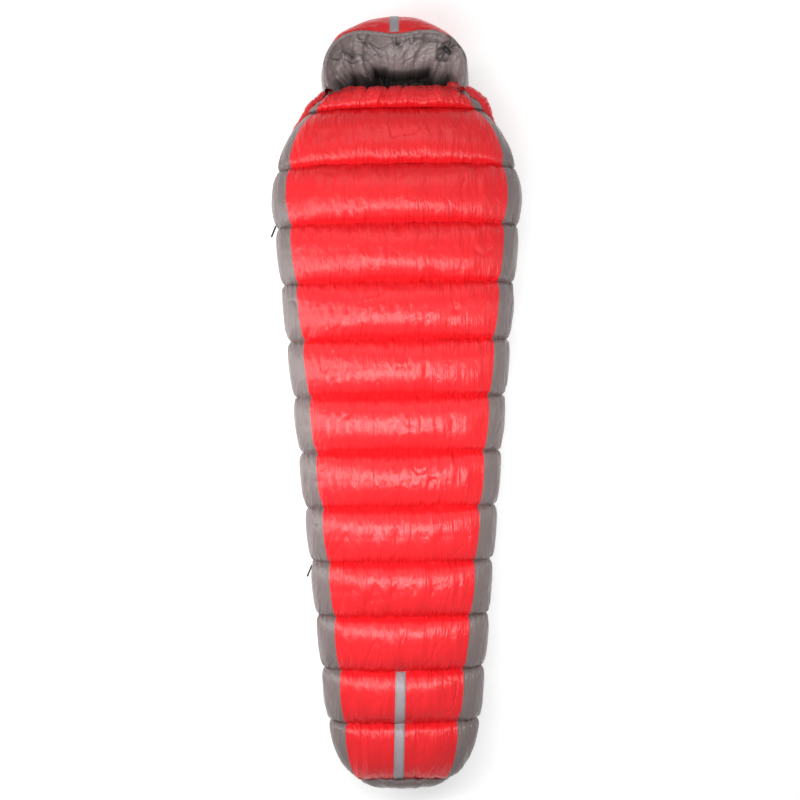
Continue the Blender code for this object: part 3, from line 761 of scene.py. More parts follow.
def build_yokes(material):
    """Padded rolls outside the top quilt at the shoulders, crumpled where the neck bunches them."""
    for name, side in (("yoke_left", -1), ("yoke_right", 1)):
        route = []
        for y in np.linspace(0.680, 0.800, 6):
            t = float(shoulder(y))
            outer = CHEST_WIDTH - 0.134 * t ** 2
            inner = float(half_width(y)) - 0.012
            route.append((side * (outer + inner) / 2, y, 0.112 + 0.014 * t ** 3,
                          (outer - inner) / 2, 0.018 + 0.006 * t))
        if side < 0:
            route += [(-0.197, 0.8215, 0.124, 0.0125, 0.0190), (-0.178, 0.8370, 0.126, 0.0125, 0.0185),
                      (-0.158, 0.8400, 0.128, 0.0090, 0.0185)]
        else:
            route[-2:] = [(0.243, 0.774, 0.122, 0.0170, 0.026), (0.222, 0.800, 0.128, 0.0240, 0.032)]
            route += [(0.190, 0.824, 0.134, 0.0240, 0.034), (0.162, 0.838, 0.140, 0.0170, 0.028),
                      (0.138, 0.845, 0.142, 0.0090, 0.016)]
        route.insert(0, (route[0][0], 0.668, 0.112, 0.35 * route[0][3], 0.006))
        path = smooth_path(route, 90)
        distance = np.linspace(0, 0.25, 90)
        swell = 1 + 0.22 * np.abs(noise_curve(distance, 0.020, 81 + side))
        rings = tube_grid(path[:, :3], path[:, 3] * swell, path[:, 4] * swell, 44, power=2.2, seed=5,
                          noise=0.08)
        obj = closed_tube(name + "_cloth", rings, [material])
        crumple(obj, range(44 * 3), 0.07, 1.0, frames=10)
        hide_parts("shoulder_" + name)


# Hood


def hood_point(angle, inset, z):
    """A point at a distance inside the hood's outline, at an angle from +X in degrees."""
    a = math.radians(angle)
    edge = np.array([HOOD_HALF_WIDTH * math.cos(a), HOOD_CENTRE_Y + HOOD_DEPTH * math.sin(a), 0])
    out = np.array([math.cos(a) / HOOD_HALF_WIDTH, math.sin(a) / HOOD_DEPTH, 0])
    return edge - out / np.linalg.norm(out) * inset + [0, 0, z]


def rim_inset(angle):
    return 0.014 + 0.061 * math.sin(math.radians(angle)) ** 4


def shell_point(angle, inset, z):
    """As hood_point, but drawn in towards the middle underneath the hood."""
    if inset < 0.09 or z > 0.02:
        return hood_point(angle, inset, z)
    centre = np.array([0, 0.868, 0.004])
    return centre + (hood_point(angle, 0.09, z) - centre) * (0.15 - inset) / 0.06


def build_hood_shell(red, grey):
    rows = []
    for angle in HOOD_ANGLES:
        rim = rim_inset(angle)
        section = [(0.150, 0.006), (0.090, 0.002), (0.045, 0.0), (0.020, 0.010), (0.004, 0.040),
                   (-0.001, 0.080),
                   (0.001 + 0.10 * rim, 0.125), (0.10 * rim + 0.006, 0.150), (0.45 * rim, 0.176),
                   (0.85 * rim, 0.190), (rim + 0.001, 0.192)]
        section = smooth_path(section, 60)
        rows.append([shell_point(angle, inset, z) for inset, z in section])
    points = np.array(rows)
    u, v = arc_grid(points)
    arc_length = v[:, 35:36]
    height = np.linspace(0, 1, points.shape[1])
    out = points - [0, HOOD_CENTRE_Y, 0]
    out[..., 2] = 0
    out /= np.linalg.norm(out, axis=-1, keepdims=True) + 1e-9
    folds = np.array([noise_curve(arc_length[:, 0] + 0.05 * h, 0.045, 61) for h in height]).T
    lines = np.array([noise_curve(h * 0.5 + 0.02 * arc_length[:, 0], 0.025, 62) for h in height]).T
    points += out * (0.0030 * folds + 0.0015 * lines)[..., None] * (height > 0.2)[None, :, None]
    slots = np.ones((points.shape[0] - 1, points.shape[1] - 1))
    crown = (HOOD_ANGLES[:-1] > 37) & (HOOD_ANGLES[:-1] < 148)
    slots[crown, :] = 0
    uv = np.stack([np.repeat(arc_length, points.shape[1], axis=1), u], axis=-1)
    mesh = grid_mesh("hood_shell", points, uv, slots=slots, seam=np.full(points.shape[:2], 0.4))
    outward_from(mesh, (0, HOOD_CENTRE_Y, 0.1))
    obj = add_object("hood_shell", mesh, [red, grey])
    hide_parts("hood_crown", "hood_side_left", "hood_side_right", "hood_back")
    return obj


def outward_from(mesh, centre, inward=False):
    """Turns an open mesh's faces all away from a point, or all towards it."""
    total = 0.0
    for face in mesh.polygons:
        total += face.normal.dot(face.center - Vector(centre)) * face.area
    if (total < 0) != inward:
        mesh.flip_normals()


# Folds of lining inside the hood: centre x and y, half length, half width, turn, low z, high z,
# fall towards the neck
LOBES = (
    (0.042, 0.940, 0.112, 0.044, 9.0, 0.125, 0.190, 0.3),
    (-0.084, 0.952, 0.054, 0.032, -25.0, 0.110, 0.184, 0.6),
    (-0.142, 0.900, 0.062, 0.036, 80.0, 0.095, 0.180, 0.9),
    (-0.086, 0.899, 0.050, 0.033, 104.0, 0.085, 0.166, 1.6),
    (0.124, 0.895, 0.046, 0.032, 78.0, 0.085, 0.162, 1.4),
    (0.163, 0.905, 0.052, 0.022, 99.0, 0.100, 0.180, 0.5),
    (0.030, 0.868, 0.065, 0.024, 6.0, 0.040, 0.066, 0.4),
)


def lining_height(x, y, from_rim):
    """The height of the hood's padded folds over a point inside the rim."""
    height = 0.042 + 0.142 * np.exp(-(from_rim / 0.040) ** 2)
    for number, (cx, cy, long, wide, turn, low, high, fall) in enumerate(LOBES):
        a = math.radians(turn)
        along_it = ((x - cx) * math.cos(a) + (y - cy) * math.sin(a)) / long
        across_it = (-(x - cx) * math.sin(a) + (y - cy) * math.cos(a)) / wide
        wave = 1 + 0.12 * noise_field(x, y, 0.030, 0.030, 400 + number)
        distance = (np.abs(along_it) ** 2.2 + np.abs(across_it) ** 2.2) ** (1 / 2.2) / wave
        lobe = low + (high - low) * np.sqrt(np.clip(1 - distance ** 2, 0, 1))
        lobe -= fall * np.clip(cy + 0.015 - y, 0, 1) + (distance > 1)
        height = np.maximum(height, lobe)
    return height


def lining_creases(x, y, count=95):
    """Depths of straight creases in crumpled lining, most of them running down from the rim."""
    draw = np.random.default_rng(440)
    height = np.zeros_like(x)
    for _ in range(count):
        cx, cy = draw.uniform(-0.19, 0.19), draw.uniform(0.85, 0.985)
        turn = math.atan2(cy - 0.80, cx * 0.7) + draw.normal(0, 0.45)
        long, thin = draw.uniform(0.018, 0.055), draw.uniform(0.0022, 0.0070)
        ahead = (x - cx) * math.cos(turn) + (y - cy) * math.sin(turn)
        aside = -(x - cx) * math.sin(turn) + (y - cy) * math.cos(turn)
        aside = aside + draw.normal(0, 6.0) * ahead ** 2
        lip = np.tanh(aside / thin) * np.exp(-np.abs(aside) / (3.5 * thin)) * draw.choice((-1.0, 1.0))
        fold = (0.7 * lip - np.exp(-(aside / thin) ** 2)) * np.exp(-(ahead / long) ** 2)
        height += fold * draw.uniform(0.5, 1.0) * thin * 1.5
    return height


def build_hood_lining(material):
    """The padded lining, which hangs from the rim in folds round the opening for the face."""
    centre = np.array([0.0, 0.838])
    rows = []
    share = np.linspace(0, 1, 84)[:, None]
    for angle in np.linspace(*HOOD_ENDS, 190):
        edge = hood_point(angle, rim_inset(angle) + 0.001, 0)[:2]
        rows.append(edge + (centre - edge) * share)
    flat = np.array(rows)
    x, y = flat[..., 0], flat[..., 1]
    from_rim = np.linalg.norm(flat - flat[:, :1], axis=-1)
    height = lining_height(x, y, from_rim)
    ease = np.clip(from_rim / 0.010, 0, 1)
    height = 0.190 + (np.minimum(height, 0.190) - 0.190) * ease
    height[1:-1, 1:-1] = (height[1:-1, 1:-1] * 2 + height[:-2, 1:-1] + height[2:, 1:-1] + height[1:-1, :-2]
                          + height[1:-1, 2:]) / 6
    points = np.stack([x, y, height], axis=-1)
    mesh = grid_mesh("hood_lining_rough", points, points[..., :2])
    rough = add_object("hood_lining_rough", mesh, [])
    index = np.arange(points.shape[0] * points.shape[1]).reshape(points.shape[:2])
    pins = [*index[:, :2].ravel(), *index[0], *index[-1], *index[:, -12:].ravel()]
    crumple(rough, pins, 0.03, 0.0, frames=8)
    settled = mesh_points(rough).reshape(points.shape).astype(float)
    bpy.data.objects.remove(rough)
    settled = cubic_rows(cubic_rows(settled, 2).transpose(1, 0, 2), 2).transpose(1, 0, 2)
    smooth = settled.copy()
    for _ in range(8):
        smooth[1:-1, 1:-1] = (smooth[:-2, 1:-1] + smooth[2:, 1:-1] + smooth[1:-1, :-2] + smooth[1:-1, 2:]) / 4
    settled = settled * 0.35 + smooth * 0.65
    normals = grid_normals(smooth)
    normals *= np.sign(normals[..., 2:] + 1e-9)
    ease = np.repeat(np.clip(np.arange(settled.shape[1]) / 8, 0, 1)[None], len(settled), axis=0)
    ease[:4], ease[-4:] = 0, 0
    creases = lining_creases(smooth[..., 0], smooth[..., 1]) * ease * np.clip(normals[..., 2] * 1.6, 0.25, 1)
    settled = settled + normals * creases[..., None]
    settled[..., 2] = np.minimum(settled[..., 2], 0.1935)
    # Painted shade: a value from 0.12 deep down to 0.85 high up, stored as the 'seam' attribute. The lining's
    # colour is darkened by it in the deep middle of the hood.
    depth = np.clip((settled[..., 2] - 0.065) / 0.06, 0.12, 0.85)
    mesh = grid_mesh("hood_lining", settled, settled[..., :2], seam=depth)
    outward_from(mesh, (0, HOOD_CENTRE_Y, 0.45), inward=True)
    obj = add_object("hood_lining", mesh, [material])
    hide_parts("brow_roll", "cheek_roll_left", "cheek_roll_right")


# Rim, cord and cordlock


def rim_path(first, last, steps):
    angles = np.linspace(first, last, steps + 1)
    return [hood_point(a, rim_inset(a) + 0.004, 0.1962) for a in angles]


def build_rim(material):
    """The hem that the drawcord gathers, along the rim on both sides of the cordlock's eyelets."""
    for name, first, last, count in (("left", 196.5, 39, 428), ("right", 21, -16.5, 120)):
        path = np.array(rim_path(first, last, count))
        distance = np.concatenate([[0], np.cumsum(np.linalg.norm(np.diff(path, axis=0), axis=1))])
        ruffle = 1 + 0.22 * noise_curve(distance, 0.0050, 71) + 0.10 * noise_curve(distance, 0.019, 72)
        outer = distance if name == "left" else distance[-1] - distance
        ruffle = ruffle * (0.35 + 0.65 * np.sqrt(np.clip(outer / 0.016, 0, 1)))
        rings = tube_grid(path - [0, 0, 0.0015], 0.0046 * ruffle, 0.0042 * ruffle, 20, power=2.0)
        obj = closed_tube(f"rim_gather_{name}", rings, [material])
        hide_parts(f"rim_channel_{name}")


def cordlock_frame():
    """Centre of the cordlock, the direction of its strands towards the eyelet, and its barrel's axis."""
    eyelet = hood_point(30, rim_inset(30) + 0.004, 0.1885)
    strand = np.array([0.70, 0.71, 0.0])
    strand /= np.linalg.norm(strand)
    barrel = np.array([strand[1], -strand[0], 0.0])
    return eyelet - strand * 0.028, strand, barrel


def cordlock_place():
    centre, strand, barrel = cordlock_frame()
    place = Matrix((strand, np.cross(barrel, strand), barrel)).transposed().to_4x4()
    place.translation = centre
    return place


def cord_route():
    """Through the rim from the left, out at the eyelet, through the cordlock, round a loop and back again."""
    centre, strand, barrel = cordlock_frame()
    loop = ((0.014, -1), (0.0, -1), (-0.014, -1), (-0.024, -2.1), (-0.032, -1.3),
            (-0.032, 1.3), (-0.024, 2.1), (-0.014, 1), (0.0, 1), (0.014, 1))
    route = rim_path(192, 35, 22)
    route += [centre + strand * reach + barrel * 0.003 * side for reach, side in loop]
    return np.array(route + rim_path(25, -12, 6))


def build_cord(material):
    route = cord_route()
    points = smooth_path(route, (len(route) - 1) * 6 + 1)
    curve = bpy.data.curves.new("drawcord", "CURVE")
    curve.dimensions = "3D"
    curve.bevel_depth = 0.00125
    curve.bevel_resolution = 4
    curve.use_fill_caps = True
    spline = curve.splines.new("POLY")
    spline.points.add(len(points) - 1)
    for point, place in zip(spline.points, points):
        point.co = (*place, 1.0)
    curve.materials.append(material)
    obj = link("drawcord", curve)
    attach(obj, "bag")
    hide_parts("hood_drawcord")
    length = float(np.linalg.norm(np.diff(points, axis=0), axis=1).sum())
    return obj, points[0], length


def lathe(bm, profile, sides, place=Matrix()):
    """Adds a turned body to bm. profile is (radius, z) from one end of the axis to the other."""
    rings = []
    for radius, z in profile:
        if radius == 0:
            rings.append([bm.verts.new(place @ Vector((0, 0, z)))])
            continue
        turns = [2 * math.pi * k / sides for k in range(sides)]
        rings.append([bm.verts.new(place @ Vector((radius * math.cos(a), radius * math.sin(a), z)))
                      for a in turns])
    for low, high in zip(rings, rings[1:]):
        for k in range(sides):
            n = (k + 1) % sides
            corners = [low[k % len(low)], low[n % len(low)], high[n % len(high)], high[k % len(high)]]
            bm.faces.new(list(dict.fromkeys(corners)))


def finished(name, bm, materials, body, place=None, bevel=0.0):
    """An object from a closed bmesh, its edges rounded by bevel."""
    bmesh.ops.recalc_face_normals(bm, faces=bm.faces)
    mesh = bpy.data.meshes.new(name)
    bm.to_mesh(mesh)
    bm.free()
    if place is not None:
        mesh.transform(place)
    obj = add_object(name, mesh, materials, body)
    if bevel:
        modifier = obj.modifiers.new("Bevel", "BEVEL")
        modifier.width = bevel
        modifier.segments = 3
        modifier.limit_method = "ANGLE"
        modifier.angle_limit = math.radians(35)
        modifier.harden_normals = True
        apply_modifiers(obj)
    return obj


def apply_modifiers(obj):
    graph = bpy.context.evaluated_depsgraph_get()
    mesh = bpy.data.meshes.new_from_object(obj.evaluated_get(graph), preserve_all_data_layers=True,
                                           depsgraph=graph)
    obj.modifiers.clear()
    old = obj.data
    obj.data = mesh
    bpy.data.meshes.remove(old)


def box(bm, low, high):
    corners = [(x, y, z) for x in (low[0], high[0]) for y in (low[1], high[1]) for z in (low[2], high[2])]
    made = bmesh.ops.create_cube(bm, size=1.0)["verts"]
    for vert, corner in zip(made, corners):
        vert.co = corner


def cut(obj, cutters, operation="DIFFERENCE"):
    """Cuts closed bmeshes out of a piece, or joins them to it."""
    for bm in cutters:
        bmesh.ops.recalc_face_normals(bm, faces=bm.faces)
        mesh = bpy.data.meshes.new("cutter")
        bm.to_mesh(mesh)
        bm.free()
        cutter = link("cutter", mesh)
        modifier = obj.modifiers.new("Cut", "BOOLEAN")
        modifier.operation = operation
        modifier.solver = "EXACT"
        modifier.object = cutter
        apply_modifiers(obj)
        bpy.data.objects.remove(cutter)
        bpy.data.meshes.remove(mesh)


def box_cutter(low, high):
    bm = bmesh.new()
    box(bm, low, high)
    return bm


def round_cutter(radius, low, high, sides=32):
    bm = bmesh.new()
    lathe(bm, [(0, low), (radius, low), (radius, high), (0, high)], sides)
    return bm


def build_cordlock(plastic, metal):
    place = cordlock_place()
    bm = bmesh.new()
    wall = [(0, -0.0125), (0.0040, -0.0125), (0.0058, -0.0120), (0.0067, -0.0108)]
    for k in range(5):
        z = -0.0098 + 0.0012 * k
        wall += [(0.0068, z), (0.0064, z + 0.0004), (0.0064, z + 0.0006), (0.0068, z + 0.0010)]
    wall += [(0.0068, 0.0072), (0.0065, 0.0081), (0.0060, 0.0085), (0, 0.0085)]
    lathe(bm, wall, 48)
    body = finished("cordlock_shell", bm, [plastic], "cordlock")
    cut(body, [round_cutter(0.0046, -0.0110, 0.02),
               box_cutter((-0.012, -0.0021, -0.0056), (0.012, 0.0021, 0.0056))])
    body.data.transform(place)
    smooth_by_angle(body)
    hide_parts("cordlock_body")
    bm = bmesh.new()
    lathe(bm, [(0, -0.0062), (0.0042, -0.0062), (0.0042, 0.0119), (0.0056, 0.0120), (0.0060, 0.0125),
               (0.0060, 0.0142), (0.0057, 0.0148), (0.0050, 0.0150), (0.0030, 0.0146), (0, 0.0145)], 48)
    plunger = finished("cordlock_button", bm, [plastic], "cordlock_plunger")
    cut(plunger, [box_cutter((-0.012, -0.0021, -0.0048), (0.012, 0.0021, 0.0078))])
    plunger.data.transform(place)
    smooth_by_angle(plunger)
    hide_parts("cordlock_plunger")
    spring = coil_spring(place, metal)
    return [body, plunger, spring]


def smooth_by_angle(obj, degrees=35):
    mesh = obj.data
    mesh.shade_smooth()
    mesh.set_sharp_from_angle(angle=math.radians(degrees))


def coil_spring(place, metal):
    low, high, turns, radius, wire = -0.0104, -0.0068, 4, 0.0034, 0.00035
    path = []
    for k in range(turns * 24 + 1):
        a = 2 * math.pi * k / 24
        path.append((radius * math.cos(a), radius * math.sin(a), low + (high - low) * k / (turns * 24)))
    rings = tube_grid(np.array(path), wire, wire, 10, power=2.0)
    obj = closed_tube("cordlock_coil", rings, [metal], "cordlock")
    obj.data.transform(place)
    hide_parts("cordlock_spring")
    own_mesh(obj)
    return obj


# Zipper


def zip_x(y):
    return -(float(half_width(y)) - 0.011)


def zip_place(y):
    """Frame on the chain: local X outwards, local Y along the chain towards the foot, local Z up."""
    slope = (CHEST_WIDTH - FOOT_WIDTH) / (CHEST_Y - TAPER_Y)
    return Matrix.Translation((zip_x(y), y, ZIP_Z)) @ Matrix.Rotation(math.pi + math.atan(slope), 4, "Z")


def zip_path(low_y, high_y, step):
    """Points along the chain at equal distances, with the direction out of the bag at each."""
    y = np.linspace(low_y, high_y, 700)
    x = np.array([zip_x(v) for v in y])
    points = np.stack([x, y, np.full_like(y, ZIP_Z)], axis=1)
    total = np.linalg.norm(np.diff(points, axis=0), axis=1).sum()
    points = along(points, int(total / step) + 1)
    ahead = np.gradient(points, axis=0)
    ahead /= np.linalg.norm(ahead, axis=1, keepdims=True)
    return points, ahead, np.stack([-ahead[:, 1], ahead[:, 0], ahead[:, 2]], axis=1)


def build_tape(name, low, high, material):
    """Woven tape along the zipper, between two heights measured from the chain, stitched near its edge."""
    points, _, out = zip_path(ZIP_BOTTOM_Y, 0.825, 0.006)
    wave = noise_curve(points[:, 1], 0.05, 44)[:, None] * 0.00035
    rows = []
    for t, off in ((0, 0.0004), (0.5, 0.0004), (1, 0.0004), (1, -0.0004), (0.5, -0.0004), (0, -0.0004)):
        bend = wave * abs(t * (high - low) / 0.01)
        rows.append(points + out * (off + bend) + [0, 0, low + (high - low) * t])
    grid = np.array(rows).transpose(1, 0, 2)
    across = np.tile(np.linspace(0, 0.024, 6), (len(points), 1))
    uv = np.stack([np.repeat(points[:, 1:2], 6, axis=1), across], axis=-1)
    mesh = grid_mesh(name, grid, uv, close_u=True, seam=np.ones(grid.shape[:2]))
    outward_normals(mesh)
    obj = add_object(name, mesh, [material], smooth=False)
    return obj, points + out * 0.0006 + [0, 0, low + (high - low) * 0.72]


def build_teeth(name, side, material):
    """A row of moulded teeth, each a small rounded hook, on one side of the chain."""
    points, ahead, out = zip_path(ZIP_BOTTOM_Y, 0.825, 0.0026)
    up = np.array([0, 0, 1.0])
    base = [(-0.45, -1, 0.3), (0.45, -1, 0.3), (0.45, 1, 0.3), (-0.45, 1, 0.3),
            (-0.45, -1, 1.0), (0.45, -1, 1.0), (0.45, 1, 1.0), (-0.45, 1, 1.0),
            (-0.30, -0.6, 0.0), (0.30, -0.6, 0.0), (0.30, 0.6, 0.0), (-0.30, 0.6, 0.0)]
    cells = [(4, 5, 6, 7), (0, 1, 5, 4), (1, 2, 6, 5), (2, 3, 7, 6), (3, 0, 4, 7),
             (8, 9, 1, 0), (9, 10, 2, 1), (10, 11, 3, 2), (11, 8, 0, 3), (8, 11, 10, 9)]
    verts, faces = [], []
    for k in range(len(points)):
        shift = 0.0013 * (side > 0)
        start = len(verts)
        for a, b, c in base:
            place = points[k] + ahead[k] * (a * 0.0020 + shift) + out[k] * b * 0.0012
            verts.append(tuple(place + up * side * (0.0009 + 0.0029 * c)))
        faces += [tuple(start + i for i in (cell if side > 0 else cell[::-1])) for cell in cells]
    mesh = bpy.data.meshes.new(name)
    mesh.from_pydata(verts, [], faces)
    outward_normals(mesh)
    obj = add_object(name, mesh, [material])
    return obj


def plate(bm, outline, low, high):
    """A flat plate in the chain's plane. outline is (along, up), low and high are distances outwards."""
    back = [bm.verts.new((low, a, b)) for a, b in outline]
    front = [bm.verts.new((high, a, b)) for a, b in outline]
    bm.faces.new(back)
    bm.faces.new(front[::-1])
    for k in range(len(outline)):
        n = (k + 1) % len(outline)
        bm.faces.new((back[k], front[k], front[n], back[n]))


def slider_outline():
    """A zipper slider's shield: two shoulders at the throat, drawn in towards its tail."""
    half = [(-0.0075, 0.0), (-0.0074, 0.0020), (-0.0068, 0.0044), (-0.0052, 0.0055), (-0.0030, 0.0053),
            (0.0010, 0.0042), (0.0050, 0.0037), (0.0068, 0.0033), (0.0075, 0.0020)]
    return half + [(a, -b) for a, b in half[:0:-1]]


def build_slider(name, y, metal):
    place = zip_place(y)
    bm = bmesh.new()
    plate(bm, slider_outline(), 0.0018, 0.0036)
    plate(bm, slider_outline(), -0.0042, -0.0024)
    box(bm, (-0.0028, -0.0050, -0.0004), (0.0022, 0.0050, 0.0004))
    for low in (-0.0048, 0.0036):
        box(bm, (0.0030, -0.0018, low), (0.0080, 0.0018, low + 0.0012))
    obj = finished(f"{name}_zip_slider", bm, [metal], f"{name}_slider", place, bevel=0.0004)
    bm = bmesh.new()
    lathe(bm, [(0, -0.0050), (0.0006, -0.0050), (0.0008, -0.0048),
               (0.0008, 0.0048), (0.0006, 0.0050), (0, 0.0050)], 16)
    pin = finished(f"{name}_slider_pin", bm, [metal], f"{name}_slider",
                   place @ Matrix.Translation((0.0062, 0, 0)))
    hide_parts(f"{name}_slider")


def build_grip(name, place, plastic):
    """The rubber sleeve moulded over the pull's tongue, ribbed for the fingers, with its end rounded."""
    count = 90
    along_it = np.linspace(0.0105, 0.0445, count)
    share = np.linspace(0, 1, count)
    ends = np.clip(np.minimum(share, 1 - share) / 0.07, 0, 1)
    swell = np.sqrt(1 - (1 - ends) ** 2)
    ribs = 1 - 0.10 * (np.sin(share * math.pi * 22) > 0) * (share > 0.2) * (share < 0.8)
    path = np.stack([np.zeros(count), along_it, np.zeros(count)], axis=1)
    rings = tube_grid(path, 0.0024 * swell * ribs, 0.0036 * swell * ribs, 24, power=3.0)
    obj = closed_tube(f"{name}_pull_grip", rings, [plastic], f"{name}_pull")
    obj.data.transform(place)


def build_pull(name, y, plastic):
    """Pull tab: a ring round the slider's pin, and a flat tongue inside a moulded grip."""
    place = zip_place(y) @ Matrix.Translation((0.0062, 0, 0)) @ Matrix.Rotation(-PULL_REST_SWING, 4, "Z")
    bm = bmesh.new()
    outline = [(0.0012, 0.0016), (0.0060, 0.0016), (0.0090, 0.0024), (0.0200, 0.0028), (0.0400, 0.0028),
               (0.0430, 0.0022), (0.0440, 0.0008)]
    plate(bm, outline + [(a, -b) for a, b in outline[::-1]], -0.0007, 0.0007)
    obj = finished(f"{name}_pull_tab", bm, [plastic], f"{name}_pull", None)
    build_grip(name, place, plastic)
    bm = bmesh.new()
    lathe(bm, [(0, -0.0028), (0.0018, -0.0028), (0.0022, -0.0024),
               (0.0022, 0.0024), (0.0018, 0.0028), (0, 0.0028)], 24)
    cut(obj, [bm], "UNION")
    cut(obj, [round_cutter(0.0011, -0.005, 0.005, 20)])
    obj.data.transform(place)
    smooth_by_angle(obj)
    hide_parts(f"{name}_pull")


def build_zipper(tape, metal, plastic, lining):
    lines = []
    for name, side, low, high in (("upper", 1, 0.0041, 0.0115), ("lower", -1, -0.0141, -0.0041)):
        obj, line = build_tape(f"{name}_tape_weave", low, high, tape)
        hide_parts(f"zipper_tape_{name}")
        lines.append(line)
        obj = build_teeth(f"{name}_teeth", side, plastic)
        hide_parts(f"zipper_teeth_{name}")
    for name, y in (("upper", 0.4965), ("lower", -0.430)):
        build_slider(name, y, metal)
        build_pull(name, y, plastic)
    bm = bmesh.new()
    plate(bm, [(-0.0015, -0.0042), (0.0015, -0.0042), (0.0015, 0.0042), (-0.0015, 0.0042)], -0.0030, 0.0030)
    stop = finished("bottom_stop", bm, [plastic], "bag", zip_place(ZIP_BOTTOM_Y - 0.0025), bevel=0.0008)
    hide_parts("zipper_bottom_stop")
    build_draft_tube(lining)
    return lines


def build_draft_tube(material):
    points, _, out = zip_path(ZIP_BOTTOM_Y, 0.740, 0.006)
    distance = np.arange(len(points)) * 0.006
    path = points - out * 0.028
    path[:, 2] = 0.0968
    chamber = np.abs(np.sin(distance * math.pi / 0.145)) ** 0.3
    plump = 0.75 + 0.25 * chamber + 0.06 * noise_curve(distance, 0.02, 12)
    rings = tube_grid(path, 0.0205 * plump, 0.0098 * plump, 28, power=2.2)
    obj = closed_tube("draft_tube_cloth", rings, [material])
    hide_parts("draft_tube")


# Linings, strips and the closure tab


def build_lining(name, low, swing, material, seed):
    """A thin sheet across the sleeping space, with slack that lies in small waves."""
    y = np.linspace(0.832, -0.962, 190)
    width = red_half_width(y) - 0.004
    if name == "lining_bottom":
        width = np.minimum(width, half_width(y) - 0.011 - 0.060)
    share = np.linspace(-1, 1, 60)
    x = width[:, None] * share[None]
    grid_y = np.repeat(y[:, None], len(share), axis=1)
    wave = np.array([noise_curve(row, 0.05, seed) + noise_curve(row + 0.1 * k, 0.021, seed + 1)
                     for k, row in enumerate(x)])
    wave += np.array([noise_curve(y, 0.06, seed + 2 + c // 20) for c in range(len(share))]).T
    points = np.stack([x, grid_y, low + swing * wave], axis=-1)
    uv = np.stack([x, grid_y], axis=-1)
    mesh = grid_mesh(name + "_cloth", points, uv, seam=np.full(x.shape, 0.5))
    obj = add_object(name + "_cloth", mesh, [material])
    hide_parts(name)


def surface_tree(*objects):
    """The surfaces of several pieces, to lay other pieces on."""
    verts, faces = [], []
    for obj in objects:
        start = len(verts)
        verts += [v.co.copy() for v in obj.data.vertices]
        faces += [[start + i for i in face.vertices] for face in obj.data.polygons]
    return BVHTree.FromPolygons(verts, faces)


def drop(tree, x, y, fallback):
    hit = tree.ray_cast(Vector((x, y, 1.0)), Vector((0, 0, -1)))
    return hit[0].z if hit[0] else fallback


def soften(height, times):
    """Evens a strip's height out, as tape that bridges the smallest folds does."""
    for _ in range(times):
        inner = (height[:-2] + 2 * height[1:-1] + height[2:]) / 4
        height = np.concatenate([height[:1], np.maximum(inner, height[1:-1]), height[-1:]])
        inner = (height[:, :-2] + 2 * height[:, 1:-1] + height[:, 2:]) / 4
        height = np.concatenate([height[:, :1], np.maximum(inner, height[:, 1:-1]), height[:, -1:]], axis=1)
    return height


def build_foot_strip(top, material):
    tree = surface_tree(top)
    y = np.linspace(SEAMS[10] - 0.001, FOOT_PANEL_Y + 0.0015, 160)
    across = np.linspace(-0.0135, 0.0135, 13)
    edge = 1 - (np.abs(across) / 0.0135) ** 8
    x = across[None] - np.linspace(0.0065, 0.0165, len(y))[:, None]
    height = np.array([[drop(tree, a, b, 0.2) for a in row] for row, b in zip(x, y)])
    height = soften(height, 2)
    top_z = height + 0.0004 + 0.0009 * edge[None]
    grid = np.stack([x, np.repeat(y[:, None], len(across), axis=1), top_z], axis=-1)
    under = grid[:, ::-1].copy()
    under[..., 2] = (height - 0.0015)[:, ::-1]
    obj = close_strip("foot_strip", grid, under, material)
    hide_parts("foot_reflective_strip")
    return [grid[:, 1] + [0, 0, 0.0002], grid[:, -2] + [0, 0, 0.0002]]


def under_cap(ring):
    """A closing ring for an end, drawn to the middle of the ring given."""
    middle = ring.mean(axis=0)
    return (middle + (ring - middle) * 0.02)[None]


def close_strip(name, grid, under, material):
    """A closed strip of tape from the grids of its upper and lower faces."""
    ring = np.concatenate([grid, under], axis=1)
    ring = np.concatenate([under_cap(ring[0]), ring, under_cap(ring[-1])])
    down = ring[..., 1] if name == "foot_strip" else arc_grid(ring)[1]
    uv = np.stack([ring[..., 0], down], axis=-1)
    mesh = grid_mesh(name, ring, uv, close_u=True, seam=np.ones(ring.shape[:2]))
    outward_normals(mesh)
    return add_object(name, mesh, [material])


def build_hood_strip(shell, material):
    """Reflective tape over the crown, laid on the hood from its back to its rim."""
    tree = surface_tree(shell)
    across = np.linspace(-0.0125, 0.0125, 11)
    centre = Vector((0, 0.93, 0.10))
    rows = []
    for turn in np.linspace(-8, 62, 60):
        a = math.radians(turn)
        row = []
        for x in across:
            start = Vector((x, centre.y, centre.z))
            way = Vector((0, math.cos(a), math.sin(a)))
            hit = tree.ray_cast(start, way)
            point = hit[0] if hit[0] else start + way * 0.1
            lift = 0.0006 + 0.0006 * (1 - abs(x / 0.0125) ** 8)
            row.append(np.array(point + way * lift))
        rows.append(row)
    grid = np.array(rows)
    under = grid[:, ::-1] - (grid[:, ::-1] - [0, centre.y, centre.z]) * 0.03
    obj = close_strip("hood_strip", grid, under, material)
    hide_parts("hood_reflective_strip")
    return [grid[:, 1], grid[:, -2]]


def rounded_outline(low_a, high_a, half, radius, steps=6):
    corners = []
    for a, b, start in ((high_a - radius, half - radius, 0), (low_a + radius, half - radius, 90),
                        (low_a + radius, -half + radius, 180), (high_a - radius, -half + radius, 270)):
        for k in range(steps + 1):
            t = math.radians(start + 90 * k / steps)
            corners.append((a + radius * math.cos(t), b + radius * math.sin(t)))
    return corners


